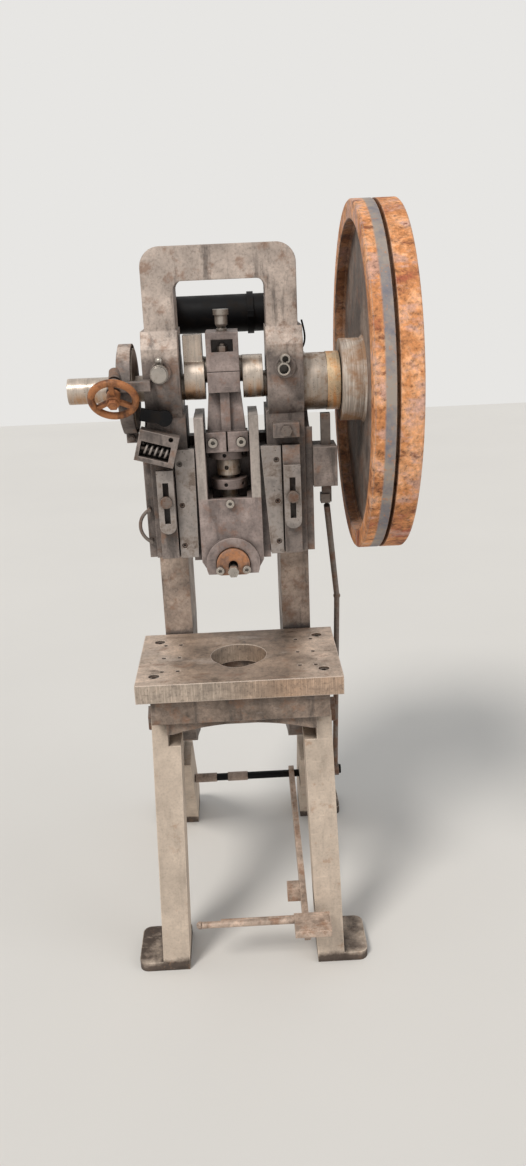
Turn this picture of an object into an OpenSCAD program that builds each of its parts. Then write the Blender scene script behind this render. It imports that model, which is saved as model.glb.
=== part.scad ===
// Open-back inclinable stamping press with a treadle clutch.
// X runs to the right, Y to the back and Z up, in millimetres.
// Every piece is drawn from the ram axis on the floor and then moved so that
// the origin lies under the middle of the whole machine.

/* [Table] */
// Height of the bolster's top face above the floor
table_h = 650; // [600:5:740]
// Width of the bolster plate
bolster_w = 370; // [340:5:400]
// Depth of the bolster plate
bolster_d = 240; // [200:5:250]
// Thickness of the bolster plate
bolster_t = 35; // [25:1:50]
// Radius of the bolster's centre hole
bolster_bore_r = 52; // [40:1:58]
// How far the bolster plate overhangs the bed on each side
bed_inset = 24; // [17:1:26]
// Thickness of the bed
bed_t = 50; // [44:1:60]
// Radius of the bed's chute hole
bed_bore_r = 62; // [50:1:66]

/* [Frame] */
// Clear width between the uprights
upright_gap = 180; // [176:2:190]
// Thickness of each upright
upright_t = 55; // [50:1:57]
// Distance from the ram axis back to the uprights
throat = 130; // [124:1:150]
// Depth of the uprights behind the throat
upright_d = 170; // [150:5:200]
// Height of the crank axis above the bolster
crank_h = 500; // [480:5:540]
// Height of the crown above the crank axis
crown_h = 227; // [205:1:250]
// Width of the crown
crown_w = 250; // [240:2:262]
// Width of the crown's window
window_w = 148; // [140:2:160]
// Thickness of the crown over its window
crown_t = 54; // [40:1:64]
// Outside radius of the bearing housings
housing_r = 66; // [60:1:67]
// Outside radius of the cross tube behind the crank
tube_r = 35; // [25:1:40]

/* [Crank and slide] */
// Stroke of the slide
stroke = 54; // [44:2:56]
// Radius of the crankshaft's journals
shaft_r = 22; // [20:1:24]
// Wall of the bearing bushes
bush_t = 8; // [6:0.5:9]
// Distance from the crank pin down to the ball
rod_len = 237; // [230:1:246]
// Width of the slide
slide_w = 108; // [104:1:110]
// Depth of the slide
slide_d = 110; // [108:1:112]
// Height of the slide's closed front
slide_front_h = 133; // [128:1:136]
// Height of the slide with its side ears
slide_h = 273; // [262:1:276]
// Radius of the ball on the adjusting screw
ball_r = 22; // [19:0.5:23]
// Radius of the die shank hole
shank_r = 15; // [10:0.5:20]
// Depth of the die shank hole
shank_depth = 55; // [40:1:60]

/* [Flywheel] */
// Radius of the flywheel
wheel_r = 288; // [260:2:300]
// Width of the flywheel's rim
wheel_w = 74; // [64:1:80]
// Radial thickness of the rim
rim_t = 30; // [20:1:45]
// Radius of the hub
hub_r = 69; // [55:1:75]

/* [Brake and clutch] */
// Radius of the brake drum
drum_r = 68; // [60:1:72]
// Radius of the clutch collar
collar_r = 48; // [40:1:50]
// Diameter of the brake handwheel
handwheel_d = 83; // [74:1:88]

/* [Stand] */
// Width of each leg seen from the front
leg_w = 52; // [48:1:56]
// Depth of each front leg
leg_d = 75; // [60:1:76]
// How far each foot spreads outward from the leg's top
leg_splay = 18; // [10:1:24]
// Distance from the ram axis back to the rear foot's end
rear_foot_y = 560; // [520:5:600]
// Thickness of the foot plates
foot_t = 20; // [12:1:26]
// How far each foot plate reaches outward beyond the leg
foot_out = 48; // [25:1:56]
// Height of the tilting pivot below the bed's underside
pivot_drop = 67; // [66:1:70]
// Height of the pedal's top above the floor
pedal_h = 136; // [125:1:150]

/* [Hidden] */
$fn = 64;

// Clearances
run_gap = 0.05;    // radial gap of a running fit
side_gap = 0.5;    // gap between flat faces that slide past each other
end_gap = 1;       // end float of turning pieces

// Heights
bed_z1 = table_h - bolster_t;
bed_w = bolster_w - 2 * bed_inset;
bed_z0 = bed_z1 - bed_t;
crank_z = table_h + crank_h;
throw = stroke / 2;
pin_z = crank_z + throw;
ball_z = pin_z - rod_len;
slide_z0 = ball_z - 108;
slide_front_z = slide_z0 + slide_front_h;
slide_top_z = slide_z0 + slide_h;
head_z0 = slide_z0 + 30;
crown_z = crank_z + crown_h;
pivot_z = bed_z0 - pivot_drop;

// Widths and depths of the frame
up_in = upright_gap / 2;
up_out = up_in + upright_t;
back_y = throat + upright_d;
lug_out = 137;
house_in = 72;
house_out = 132;
guide_front = -48;
bed_front = -105;
tube_y = throat + 120;
tube_z = crank_z + 105;

crown_y0 = -50;
crown_y1 = 30;
oil_z = crank_z + 33;
foot_x = 100;
foot_front = -74;

// Slide and its guides
slide_x = slide_w / 2;
slide_front = -60;
slide_back = slide_front + slide_d;
ear_in = 38;
tongue_t = 13;
tongue_front = guide_front + side_gap;
tongue_back = 30;
guide_in = slide_x + tongue_t + side_gap;
gib_t = 14;

// Crankshaft
web_in = 32;
web_out = 66;
web_r = throw / 2 + shaft_r + 0.5;
stub_x = -265;
shaft_end_x = 294;
nut_end_x = 305;
drum_x0 = -176;
drum_x1 = -150;
ring_x0 = 173;
ring_x1 = 195;
hub_x0 = ring_x1 + 2;
rim_x0 = 216;
rim_x1 = rim_x0 + wheel_w;
wheel_web_x = rim_x0 + 20;

// Stand
pivot_y = 60;
pivot_r = 16;
leg_front = -75;
leg_back = leg_front + leg_d;
leg_top = bed_z0 - 1;
shoulder_z = bed_z0 - 60;
apron_drop = 26;
leg_in = 113;
leg_top_out = leg_in + leg_w;
tilt_max = 25;
clamp_arm = 110;
clamp_angle = -30;
clamp_r = 10;
tie_y = pivot_y + 130;
tie_z = pivot_z - 78;
tie_r = 9;

// Treadle
shaft_y = 350;
shaft_z = 190;
rocker_r = 8.5;
pull_y = 235;
pull_z = 262;
pull_x = 200;
pull_pin_r = 6;

// The box of the whole machine gives the place of the origin
mid_x = (stub_x + nut_end_x) / 2;
mid_y = (rear_foot_y - wheel_r) / 2;

// Shared shapes
module from_ram() translate([-mid_x, -mid_y, 0]) children();

// Draws a side view (Y, Z) and gives it width from x0 to x1
module side_plate(x0, x1) translate([x0, 0, 0]) rotate([90, 0, 90]) linear_extrude(x1 - x0) children();

// Draws a front view (X, Z) and gives it depth from y0 to y1
module front_plate(y0, y1) translate([0, y1, 0]) rotate([90, 0, 0]) linear_extrude(y1 - y0) children();

module block(x0, x1, y0, y1, z0, z1) translate([x0, y0, z0]) cube([x1 - x0, y1 - y0, z1 - z0]);

module bar_x(x0, x1, r) translate([x0, 0, 0]) rotate([0, 90, 0]) cylinder(h = x1 - x0, r = r);

module bar_y(y0, y1, r) translate([0, y0, 0]) rotate([-90, 0, 0]) cylinder(h = y1 - y0, r = r);

module both_sides() {
  children();
  mirror([1, 0, 0]) children();
}

// A rectangle from the lower left to the upper right corner, with round corners
module round_rect(x0, x1, z0, z1, r) {
  translate([x0 + r, z0]) square([x1 - x0 - 2 * r, z1 - z0]);
  translate([x0, z0 + r]) square([x1 - x0, z1 - z0 - 2 * r]);
  for (x = [x0 + r, x1 - r], z = [z0 + r, z1 - r]) translate([x, z]) circle(r);
}

// Fills an inside corner: the corner lies at the origin and the material in +, +
module corner_fill(r) difference() {
  square(r);
  translate([r, r]) circle(r);
}

// Hexagon head on top of z = 0, wide across flats
module hex_head(flats, h) cylinder(h = h, r = flats / sqrt(3), $fn = 6);

// Socket head on top of z = 0
module socket_head(r, h) difference() {
  cylinder(h = h, r = r);
  translate([0, 0, h / 2]) cylinder(h = h, r = r * 0.5, $fn = 6);
}

// Stand
function splay_out(z) = leg_top_out + leg_splay * (1 - z / leg_top);
function splay_in(z) = leg_in + leg_splay * 0.92 * (1 - z / leg_top);
strut_top = [[pivot_y + 45, pivot_z + 40], [rear_foot_y, foot_t + 25]];
strut_foot = 90;

module leg_side() polygon([
  [leg_front, 0], [leg_front, leg_top], [pivot_y, leg_top], strut_top[0], strut_top[1],
  [rear_foot_y, 0], [rear_foot_y - strut_foot, 0], [pivot_y + 115, pivot_z - 160],
  [pivot_y + 70, pivot_z - 140], [leg_back + 40, pivot_z - 140], [leg_back, pivot_z - 190], [leg_back, 0]
]);

module leg_front_view() polygon([
  [leg_in, leg_top + 10], [leg_top_out, leg_top + 10],
  [splay_out(leg_top), leg_top], [splay_out(0), 0], [splay_in(0), 0], [splay_in(leg_top), leg_top]
]);

// The room that the frame's lugs need inside the leg when the frame tilts
module lug_room() {
  translate([leg_front - 1, shoulder_z]) square([leg_d + 2, 200]);
  translate([leg_back, pivot_z - 188]) square([600, 400]);
}

function on_arc(a) = [pivot_y + clamp_arm * cos(a), pivot_z + clamp_arm * sin(a)];

// A far point on the line from the pivot at angle a
function far_point(a) = [pivot_y + 200 * cos(a), pivot_z + 200 * sin(a)];

module arc_slot() {
  a0 = clamp_angle + 7;
  a1 = clamp_angle - tilt_max - 7;
  intersection() {
    translate([pivot_y, pivot_z]) difference() {
      circle(clamp_arm + clamp_r + 1);
      circle(clamp_arm - clamp_r - 1);
    }
    polygon([[pivot_y, pivot_z], far_point(a0), far_point((a0 + a1) / 2), far_point(a1)]);
  }
}

module foot_plate(y0, y1) {
  x0 = splay_in(0);
  x1 = splay_out(0) + foot_out;
  r = 18;
  linear_extrude(foot_t) {
    translate([x0, y0]) square([x1 - x0 - r, y1 - y0]);
    translate([x0, y0 + r]) square([x1 - x0, y1 - y0 - 2 * r]);
    for (y = [y0 + r, y1 - r]) translate([x1 - r, y]) circle(r);
  }
}

module leg() {
  difference() {
    intersection() {
      side_plate(leg_in - 5, leg_top_out + leg_splay + 10) leg_side();
      front_plate(leg_front, rear_foot_y) leg_front_view();
    }
    side_plate(leg_in - 10, lug_out + side_gap) lug_room();
    translate([0, pivot_y, pivot_z]) bar_x(100, 250, pivot_r + run_gap);
    side_plate(100, 250) arc_slot();
    translate([0, shaft_y, shaft_z]) bar_x(100, 250, rocker_r + run_gap);
    translate([0, tie_y, tie_z]) bar_x(100, 250, tie_r);
  }
  foot_plate(leg_front, leg_front + 113);
  foot_plate(rear_foot_y - 100, rear_foot_y);
}

module left_leg() color("#8f8880") from_ram() mirror([1, 0, 0]) leg();

module right_leg() color("#8f8880") from_ram() leg();

// The tie rod holds the two legs together under the bed
module tie_rod() color("#4c4642") from_ram() translate([0, tie_y, tie_z]) {
  x1 = splay_out(tie_z) + 2;
  bar_x(-x1, x1, tie_r);
  both_sides() translate([x1 - 1, 0, 0]) rotate([0, 90, 0]) hex_head(27, 11);
}

// The pivot bolts join the legs to the frame's lugs
module pivot_bolts() color("#5c5550") from_ram() both_sides() translate([0, pivot_y, pivot_z]) {
  bar_x(up_in + 12, splay_out(pivot_z) + 8, pivot_r);
  translate([splay_out(pivot_z) + 1, 0, 0]) rotate([0, 90, 0]) hex_head(46, 16);
}

module tilt_clamp_bolts() color("#5c5550") from_ram() both_sides() {
  p = on_arc(clamp_angle);
  low = on_arc(clamp_angle - tilt_max)[1] - clamp_r - 12;
  x1 = splay_out(low) + 2.4;
  translate([0, p[0], p[1]]) {
    bar_x(up_in + 12, x1 + 5, clamp_r);
    bar_x(x1 - 2, x1 + 2, clamp_r + 12);
    translate([x1 + 2, 0, 0]) rotate([0, 90, 0]) hex_head(30, 12);
  }
}

// Frame
module upright_side() {
  difference() {
    union() {
      polygon([
        [throat, bed_z0], [throat, head_z0], [guide_front + 6, head_z0], [guide_front + 6, crank_z + 96],
        [30, crank_z + 130], [tube_y, tube_z + tube_r + 18], [tube_y + tube_r + 18, tube_z],
        [back_y + 20, crank_z - 120], [back_y, head_z0], [back_y, bed_z1 + 20], [back_y - 30, bed_z0]
      ]);
      translate([tube_y, tube_z]) circle(tube_r + 18);
      translate([throat, head_z0]) rotate(180) corner_fill(34);
      translate([throat, bed_z1]) mirror([1, 0]) corner_fill(9);
    }
  }
}

// The hollow cast into the outside of each upright
module upright_panel() {
  y0 = throat + 34;
  y1 = back_y - 34;
  round_rect(y0, y1, bed_z1 + 40, head_z0 - 10, 20);
  round_rect(y0 - 60, y1, head_z0 + 30, crank_z - housing_r - 30, 20);
}

module lug_side() {
  translate([bed_front + 34, bed_z0 - apron_drop]) square([back_y - bed_front - 84, apron_drop + 1]);
  polygon([
    [leg_back + 5, bed_z0], [leg_back + 5, pivot_z], [pivot_y - 30, pivot_z - 36],
    [on_arc(clamp_angle)[0] - 12, on_arc(clamp_angle)[1] - 20],
    [on_arc(clamp_angle)[0] + 20, on_arc(clamp_angle)[1] - 8], [back_y - 80, bed_z0]
  ]);
  translate([pivot_y, pivot_z]) circle(48);
  translate(on_arc(clamp_angle)) circle(24);
}

module crown_front() {
  z0 = crank_z + 50;
  r = 32;
  x1 = crown_w / 2;
  difference() {
    union() {
      translate([-x1, z0]) square([2 * x1, crown_z - r - z0]);
      translate([-x1 + r, z0]) square([2 * (x1 - r), crown_z - z0]);
      for (s = [-1, 1]) translate([s * (x1 - r), crown_z - r]) circle(r);
    }
    round_rect(-window_w / 2, window_w / 2, z0 - 60, crown_z - crown_t, 14);
  }
}

module housing() {
  translate([0, 0, crank_z]) bar_x(house_in, house_out, housing_r);
  // square upper half with a sloping band up to the crown
  side_plate(house_in, house_out) polygon([
    [-housing_r, crank_z], [-housing_r, crank_z + 69], [crown_y0, crank_z + 97], [40, crank_z + 97],
    [40, crank_z]
  ]);
  // pad on the front of the housing that carries the oil fitting
  translate([102, 0, oil_z]) bar_y(-72, -40, 17);
}

module press_frame() color("#5f5650") from_ram() difference() {
  union() {
    both_sides() {
      difference() {
        side_plate(up_in, up_out) upright_side();
        side_plate(up_out - 8, up_out + 1) upright_panel();
      }
      // guide column with the shoulder behind the slide's tongue
      block(guide_in, house_out, guide_front, 62, head_z0, crank_z - 40);
      block(slide_x + 2, guide_in + 1, tongue_back + side_gap, 62, head_z0, crank_z - 90);
      housing();
      side_plate(up_in, lug_out) lug_side();
    }
    // foot of the right housing's clamp
    block(foot_x - 22, foot_x + 22, foot_front, guide_front + 1, crank_z - 82, crank_z - 58);
    front_plate(crown_y0, crown_y1) crown_front();
    // web behind the slide
    block(-up_in - 1, up_in + 1, 56, 74, head_z0, crank_z - 92);
    // bed, its apron and the rib under its back
    block(-bed_w / 2, bed_w / 2, bed_front, throat + 50, bed_z0, bed_z1);
    front_plate(bed_front + 10, bed_front + 34) apron();
    block(-up_in - 1, up_in + 1, throat + 20, throat + 50, bed_z0 - apron_drop, bed_z0 + 1);
  }
  translate([0, 0, bed_z0 - 1]) cylinder(h = bed_t + 2, r = bed_bore_r);
  translate([0, 0, crank_z]) bar_x(-house_out - 30, house_out + 30, shaft_r + bush_t);
  translate([0, tube_y, tube_z]) bar_x(-up_in - 12, up_in + 12, tube_r);
  both_sides() {
    translate([0, pivot_y, pivot_z]) bar_x(up_in + 12, lug_out + 1, pivot_r);
    translate([0, on_arc(clamp_angle)[0], on_arc(clamp_angle)[1]]) bar_x(up_in + 12, lug_out + 1, clamp_r);
    // flat beside the clutch and the brake, so that the uprights clear them
    translate([0, 0, crank_z]) bar_x(house_out, up_out + 1, drum_r + 14);
    // above the shaft the uprights keep within the housings, and above those within the crown
    block(house_out, up_out + 1, -60, back_y + 60, crank_z + 40, crank_z + 98);
    block(crown_w / 2, up_out + 1, -60, back_y + 60, crank_z + 97, crown_z);
    block(crown_w / 2 - 6, up_out + 1, crown_y1, back_y + 60, crank_z + 97, crown_z);
  }
  translate([foot_x, 0, crank_z - 70]) bar_y(foot_front - 1, guide_front, 5);
  bolster_screw_holes(bed_z1 - 28, bed_z1 + 1, 6);
}

module apron() difference() {
  z0 = bed_z0 - apron_drop;
  arch_w = 130;
  rise = apron_drop - 8;
  r = (arch_w * arch_w + rise * rise) / (2 * rise);
  translate([-lug_out, z0]) square([2 * lug_out, apron_drop + 1]);
  translate([0, z0 - 1 + rise - r]) circle(r, $fn = 200);
}

module bearing_bushes() color("#9a7a3c") from_ram() both_sides() translate([0, 0, crank_z]) difference() {
  bar_x(house_in, house_out, shaft_r + bush_t);
  bar_x(house_in - 1, house_out + 1, shaft_r + run_gap);
}

// Bolster
bolt_x = bolster_w / 2 - 32;
bolt_y = bolster_d / 2 - 39;

module bolster_screw_holes(z0, z1, r) for (x = [-bolt_x, bolt_x], y = [-bolt_y, bolt_y])
  translate([x, y, z0]) cylinder(h = z1 - z0, r = r);

tapped_x = [bolt_x - 42, bolt_x - 13];

module bolster_plate() color("#7d7266") from_ram() difference() {
  block(-bolster_w / 2, bolster_w / 2, -bolster_d / 2, bolster_d / 2, bed_z1, table_h);
  translate([0, 0, bed_z1 - 1]) cylinder(h = bolster_t + 2, r = bolster_bore_r);
  // the hole was filed out a little towards the front
  translate([-4, 28 - bolster_bore_r, bed_z1 - 1]) cylinder(h = bolster_t + 2, r = 34);
  bolster_screw_holes(bed_z1 - 1, table_h + 1, 6);
  bolster_screw_holes(table_h - 12, table_h + 1, 10);
  for (s = [-1, 1], x = tapped_x, y = [-62, 0, 62])
    translate([s * x, y, table_h - 24]) cylinder(h = 25, r = 4);
}

module bolster_screws() color("#4f4842") from_ram() for (x = [-bolt_x, bolt_x], y = [-bolt_y, bolt_y])
  translate([x, y, 0]) {
    translate([0, 0, bed_z1 - 28]) cylinder(h = bolster_t + 18, r = 6);
    translate([0, 0, table_h - 12]) socket_head(9, 9);
  }

// Guides
gib_z = [head_z0 + 24, (head_z0 + crank_z - 97) / 2, crank_z - 121];

module gib(top_x, low_x, z1) difference() {
  front_plate(guide_front - gib_t, guide_front) polygon([
    [top_x, z1], [90, z1], [90, head_z0 + 2], [low_x, head_z0 + 2]
  ]);
  for (z = gib_z) translate([82, 0, z]) {
    bar_y(guide_front - gib_t - 1, guide_front + 1, 3);
    bar_y(guide_front - gib_t - 1, guide_front - gib_t + 8, 5);
  }
}

module left_gib() color("#6d645c") from_ram() mirror([1, 0, 0]) gib(slide_x + 2, slide_x + 5, crank_z - 97);

module right_gib() color("#6d645c") from_ram() gib(slide_x + 2, slide_x + 14, crank_z - 97);

module gib_screws() color("#35302c") from_ram() both_sides() for (z = gib_z) translate([82, 0, z]) {
  bar_y(guide_front - gib_t + 5, guide_front, 3);
  translate([0, guide_front - gib_t + 8, 0]) rotate([90, 0, 0]) socket_head(5, 6);
}

// Knock-out stops
stop_x0 = 92.5;
stop_x1 = 122;
stop_col_t = 18;
stop_plate_t = 12;
stop_z = table_h + 319;
slot_up = 32;
slot_down = 39;
slot_r = 5;
stop_cx = (stop_x0 + stop_x1) / 2;
stop_face = guide_front - stop_col_t;

module stop_column(z1) difference() {
  block(stop_x0, stop_x1, stop_face, guide_front, head_z0 + 3, z1);
  translate([stop_cx, 0, stop_z]) bar_y(stop_face - 1, guide_front + 1, 4);
}

module left_stop_column() color("#655c55") from_ram() mirror([1, 0, 0]) stop_column(crank_z - 140);

module right_stop_column() color("#655c55") from_ram() stop_column(crank_z - 96);

module stop_plate() {
  w = stop_x1 - stop_x0 - 1;
  z0 = stop_z - slot_down - 18;
  z1 = stop_z + slot_up + 21;
  front_plate(stop_face - stop_plate_t, stop_face - side_gap) difference() {
    union() {
      translate([stop_cx - w / 2, z0 + w / 2]) square([w, z1 - z0 - w / 2]);
      translate([stop_cx, z0 + w / 2]) circle(w / 2);
    }
    translate([stop_cx - slot_r, stop_z - slot_down]) square([2 * slot_r, slot_up + slot_down]);
  }
}

module left_stop_plate() color("#6b625b") from_ram() mirror([1, 0, 0]) stop_plate();

module right_stop_plate() color("#6b625b") from_ram() stop_plate();

module stop_bolts() color("#777069") from_ram() both_sides() translate([stop_cx, 0, stop_z]) {
  bar_y(stop_face - stop_plate_t - 2, guide_front, 4);
  bar_y(stop_face - stop_plate_t - 9, stop_face - stop_plate_t - side_gap, 10);
}

// Cross tube and fittings
module cross_tube() color("#191a1f") from_ram() translate([0, tube_y, tube_z]) difference() {
  union() {
    bar_x(-up_in - 12, up_in + 12, tube_r);
    // collar near the right upright with its boss
    bar_x(48, 60, tube_r + 4);
    translate([48, -tube_r - 16, -6]) cube([12, 20, 12]);
  }
  bar_x(-up_in - 13, up_in + 13, tube_r - 5);
}

module housing_bolt() color("#6f675f") from_ram() translate([foot_x, 0, crank_z - 70]) {
  bar_y(foot_front - 4, guide_front, 5);
  translate([0, foot_front, 0]) rotate([90, 0, 0]) hex_head(17, 8);
}

module left_lubricator() color("#a8a49c") from_ram() translate([-102, 0, oil_z]) {
  bar_y(-84, -72, 6);
  bar_y(-92, -84, 9);
  bar_y(-104, -92, 14.5);
  bar_y(-108, -104, 12.5);
  translate([0, -78, 0]) cylinder(h = 18, r = 5);
  translate([0, -78, 19]) sphere(7);
}

module right_oil_tubes() color("#7b6f63") from_ram() translate([98, 0, oil_z]) {
  difference() {
    union() {
      bar_y(-104, -72, 10);
      translate([3, 0, 15]) bar_y(-96, -72, 8);
    }
    bar_y(-105, -84, 7.5);
    translate([3, 0, 15]) bar_y(-97, -80, 5);
  }
}

// A thin pipe that bends away from the left column and back
module oil_pipe() color("#8b8780") from_ram() translate([-up_out, guide_front - 6, head_z0 + 60]) {
  difference() {
    translate([20, 0, 0]) rotate([90, 0, 0]) rotate_extrude() translate([32, 0]) circle(3);
    block(5, 60, -10, 10, -60, 60);
  }
  for (z = [-28.3, 28.3]) translate([5, 0, z]) bar_y(-4, 12, 3.6);
}

// Clutch latch
latch_x = 169;
latch_y = -26;

module latch_box() color("#5d5650") from_ram() difference() {
  union() {
    block(up_out, 186, -56, 6, crank_z - 172, crank_z - 104);
    block(up_out, 182, -20, 60, crank_z - 150, crank_z - 125);
  }
  block(latch_x - 9, latch_x + 9, latch_y - 9, latch_y + 9, crank_z - 173, crank_z - 103);
}

module latch_post() color("#6a5f55") from_ram() {
  block(latch_x - 8, latch_x + 8, latch_y - 8, latch_y + 8, crank_z - 205, crank_z - collar_r - 3);
  block(latch_x - 11, latch_x + 5, latch_y - 12, latch_y + 8, crank_z - 206, crank_z - 190);
}

module rod_piece(a, b, r) {
  d = b - a;
  len = norm(d);
  translate(a) rotate([0, acos(d[2] / len), atan2(d[1], d[0])]) cylinder(h = len, r = r);
}

pull_top = [latch_x, latch_y, crank_z - 213];
pull_knee = [pull_x, throat + 5, table_h + 60];
pull_end = [pull_x, pull_y, pull_z];

module pull_rod() color("#3d3935") from_ram() difference() {
  union() {
    rod_piece(pull_top, pull_knee, 5.5);
    translate(pull_knee) sphere(7);
    rod_piece(pull_knee, pull_end, 5.5);
    translate([0, pull_y, pull_z]) bar_x(pull_x - 7, pull_x + 7, 14);
  }
  translate([0, pull_y, pull_z]) bar_x(pull_x - 9, pull_x + 9, pull_pin_r + run_gap);
}

// Brake
brake_x = (drum_x0 + drum_x1) / 2;
lining_r = drum_r + 0.3;
band_r = lining_r + 4;
band_out = band_r + 3;
band_lug_z = band_out + 14;

module band_ends(y0, y1, x0, x1, r) block(x0, x1, y0, y1, crank_z - r, crank_z - drum_r + 6);

module brake_lining() color("#3a2d22") from_ram() difference() {
  translate([0, 0, crank_z]) bar_x(drum_x0 + 3, drum_x1 - 3, band_r);
  translate([0, 0, crank_z]) bar_x(drum_x0, drum_x1, lining_r);
  band_ends(-6, 6, drum_x0, drum_x1, band_r + 5);
}

module brake_band() color("#4c443d") from_ram() difference() {
  union() {
    translate([0, 0, crank_z]) bar_x(drum_x0 + 2, drum_x1 - 2, band_out);
    band_ends(-16, 16, drum_x0 + 4, drum_x1 - 4, band_lug_z);
    // arm that holds the band on the left upright
    block(drum_x0 + 4, -up_out, 60, 104, crank_z - 9, crank_z + 9);
    on_spindle() translate([0, 0, spindle_t]) cylinder(h = 21, r = 10);
  }
  translate([0, 0, crank_z]) bar_x(drum_x0, drum_x1 + 12, band_r);
  band_ends(-6, 6, drum_x0, drum_x1, band_lug_z + 1);
  translate([brake_x, 0, crank_z - band_lug_z + 8]) bar_y(-20, 20, 4);
}

module band_bolt() color("#6f675f") from_ram() translate([brake_x, 0, crank_z - band_lug_z + 8]) {
  bar_y(-24, 18, 4);
  translate([0, -16, 0]) rotate([90, 0, 0]) hex_head(12, 6);
  translate([0, 16, 0]) rotate([-90, 0, 0]) hex_head(12, 5);
}

// The spindle runs back and up from the handwheel's middle to the band
wheel_at = [brake_x - 14, -110, crank_z - 2];
spindle_tilt = 36;
spindle_t = 43;
spindle_r = 6;

module on_spindle() translate(wheel_at) rotate([spindle_tilt - 90, 0, 0]) children();

module brake_screw_bracket() color("#5b5149") from_ram() difference() {
  union() {
    on_spindle() translate([0, 0, 16]) cylinder(h = 20, r = 12);
    block(wheel_at[0], -house_out + 10, wheel_at[1] + 12, wheel_at[1] + 28, crank_z + 7, crank_z + 23);
    block(-house_out - 2, -house_out + 14, wheel_at[1] + 12, -housing_r, crank_z + 7, crank_z + 23);
  }
  on_spindle() translate([0, 0, 14]) cylinder(h = 30, r = spindle_r + run_gap);
}

module brake_spindle() color("#7a6a58") from_ram() on_spindle() {
  translate([0, 0, -16]) cylinder(h = spindle_t + 15, r = spindle_r);
  translate([0, 0, -15]) hex_head(16, 7);
}

module handwheel() color("#9b5a2e") from_ram() on_spindle() difference() {
  union() {
    rotate_extrude() translate([handwheel_d / 2 - 6, 0]) circle(6);
    translate([0, 0, -8]) cylinder(h = 20, r = 11);
    for (a = [30:120:270]) rotate([0, 0, a]) translate([8, -4, -3]) cube([handwheel_d / 2 - 12, 8, 6]);
  }
  translate([0, 0, -9]) cylinder(h = 22, r = spindle_r);
}

plate_tilt = 16;
plate_at = [-116, -78, crank_z - 88];

module on_plate() translate(plate_at) rotate([0, plate_tilt, 0]) children();

module brake_spring_bracket() color("#5b5149") from_ram() {
  on_plate() difference() {
    translate([-33, -14, -26]) cube([66, 30, 52]);
    translate([-27, -15, -18]) cube([50, 26, 26]);
    translate([20, -15, 20]) rotate([-90, 0, 0]) cylinder(h = 40, r = 4);
  }
  block(-130, -100, -64, guide_front, crank_z - 112, crank_z - 70);
}

spring_turns = 5;

module brake_spring() color("#a29b90") from_ram() on_plate() translate([-26.7, -4, -5])
  rotate([0, 90, 0]) {
    for (i = [0:spring_turns]) translate([0, 0, 3 + i * 8.6]) rotate_extrude() translate([8, 0]) circle(2);
    cylinder(h = 49, r = 6.1);
  }

// Short lever on a stud in the left housing, above the spring
module brake_lever() color("#2f2b28") from_ram() difference() {
  union() {
    translate([-100, -78, crank_z - 40]) rotate([0, 12, 0]) front_plate(-6, 6) {
      translate([-40, -10]) square([40, 20]);
      circle(13);
    }
    translate([-100, 0, crank_z - 40]) bar_y(-80, -30, 7);
  }
  translate([0, 0, crank_z]) bar_x(-house_out, -house_in, housing_r);
  block(-up_out, -house_in, -60, 0, crank_z - 40, crank_z - 20);
}

// Crankshaft and what turns with it
module crankshaft() color("#8d8578") from_ram() {
  translate([0, 0, crank_z]) {
    bar_x(stub_x, -web_in - 1, shaft_r);
    bar_x(web_in + 1, shaft_end_x, shaft_r);
    bar_x(shaft_end_x - 1, nut_end_x, shaft_r - 8);
  }
  translate([0, 0, pin_z]) bar_x(-web_in - 1, web_in + 1, shaft_r);
  both_sides() translate([0, 0, crank_z + throw / 2]) bar_x(web_in, web_out, web_r);
  // rough forged shoulder on the left web
  block(-web_out, -web_in - 2, -20, 20, crank_z + throw, crank_z + 86);
}

module brake_drum() color("#6f675d") from_ram() translate([0, 0, crank_z]) difference() {
  bar_x(drum_x0, drum_x1, drum_r);
  bar_x(drum_x0 - 1, drum_x1 + 1, shaft_r);
  difference() {
    bar_x(drum_x0 - 1, drum_x0 + 8, drum_r - 9);
    bar_x(drum_x0 - 2, drum_x0 + 9, shaft_r + 12);
  }
}

module clutch_collar() color("#8a8178") from_ram() translate([0, 0, crank_z]) difference() {
  bar_x(house_out + end_gap, ring_x0, collar_r);
  bar_x(house_out, ring_x0 + 1, shaft_r);
}

module clutch_ring() color("#a5683a") from_ram() translate([0, 0, crank_z]) difference() {
  bar_x(ring_x0, ring_x1, collar_r + 1);
  bar_x(ring_x0 - 1, ring_x1 + 1, shaft_r);
  translate([ring_x0 + 6, -8, -collar_r - 3]) cube([10, 16, 10]);
}

module end_nut() color("#6b6259") from_ram() translate([0, 0, crank_z]) difference() {
  union() {
    bar_x(shaft_end_x, shaft_end_x + 3, 34);
    translate([shaft_end_x + 3, 0, 0]) rotate([0, 90, 0]) hex_head(36, nut_end_x - shaft_end_x - 3);
  }
  bar_x(shaft_end_x - 1, nut_end_x + 1, shaft_r - 8);
}

// Flywheel, turned about the crank axis
wheel_bore = shaft_r + 8;

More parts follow.
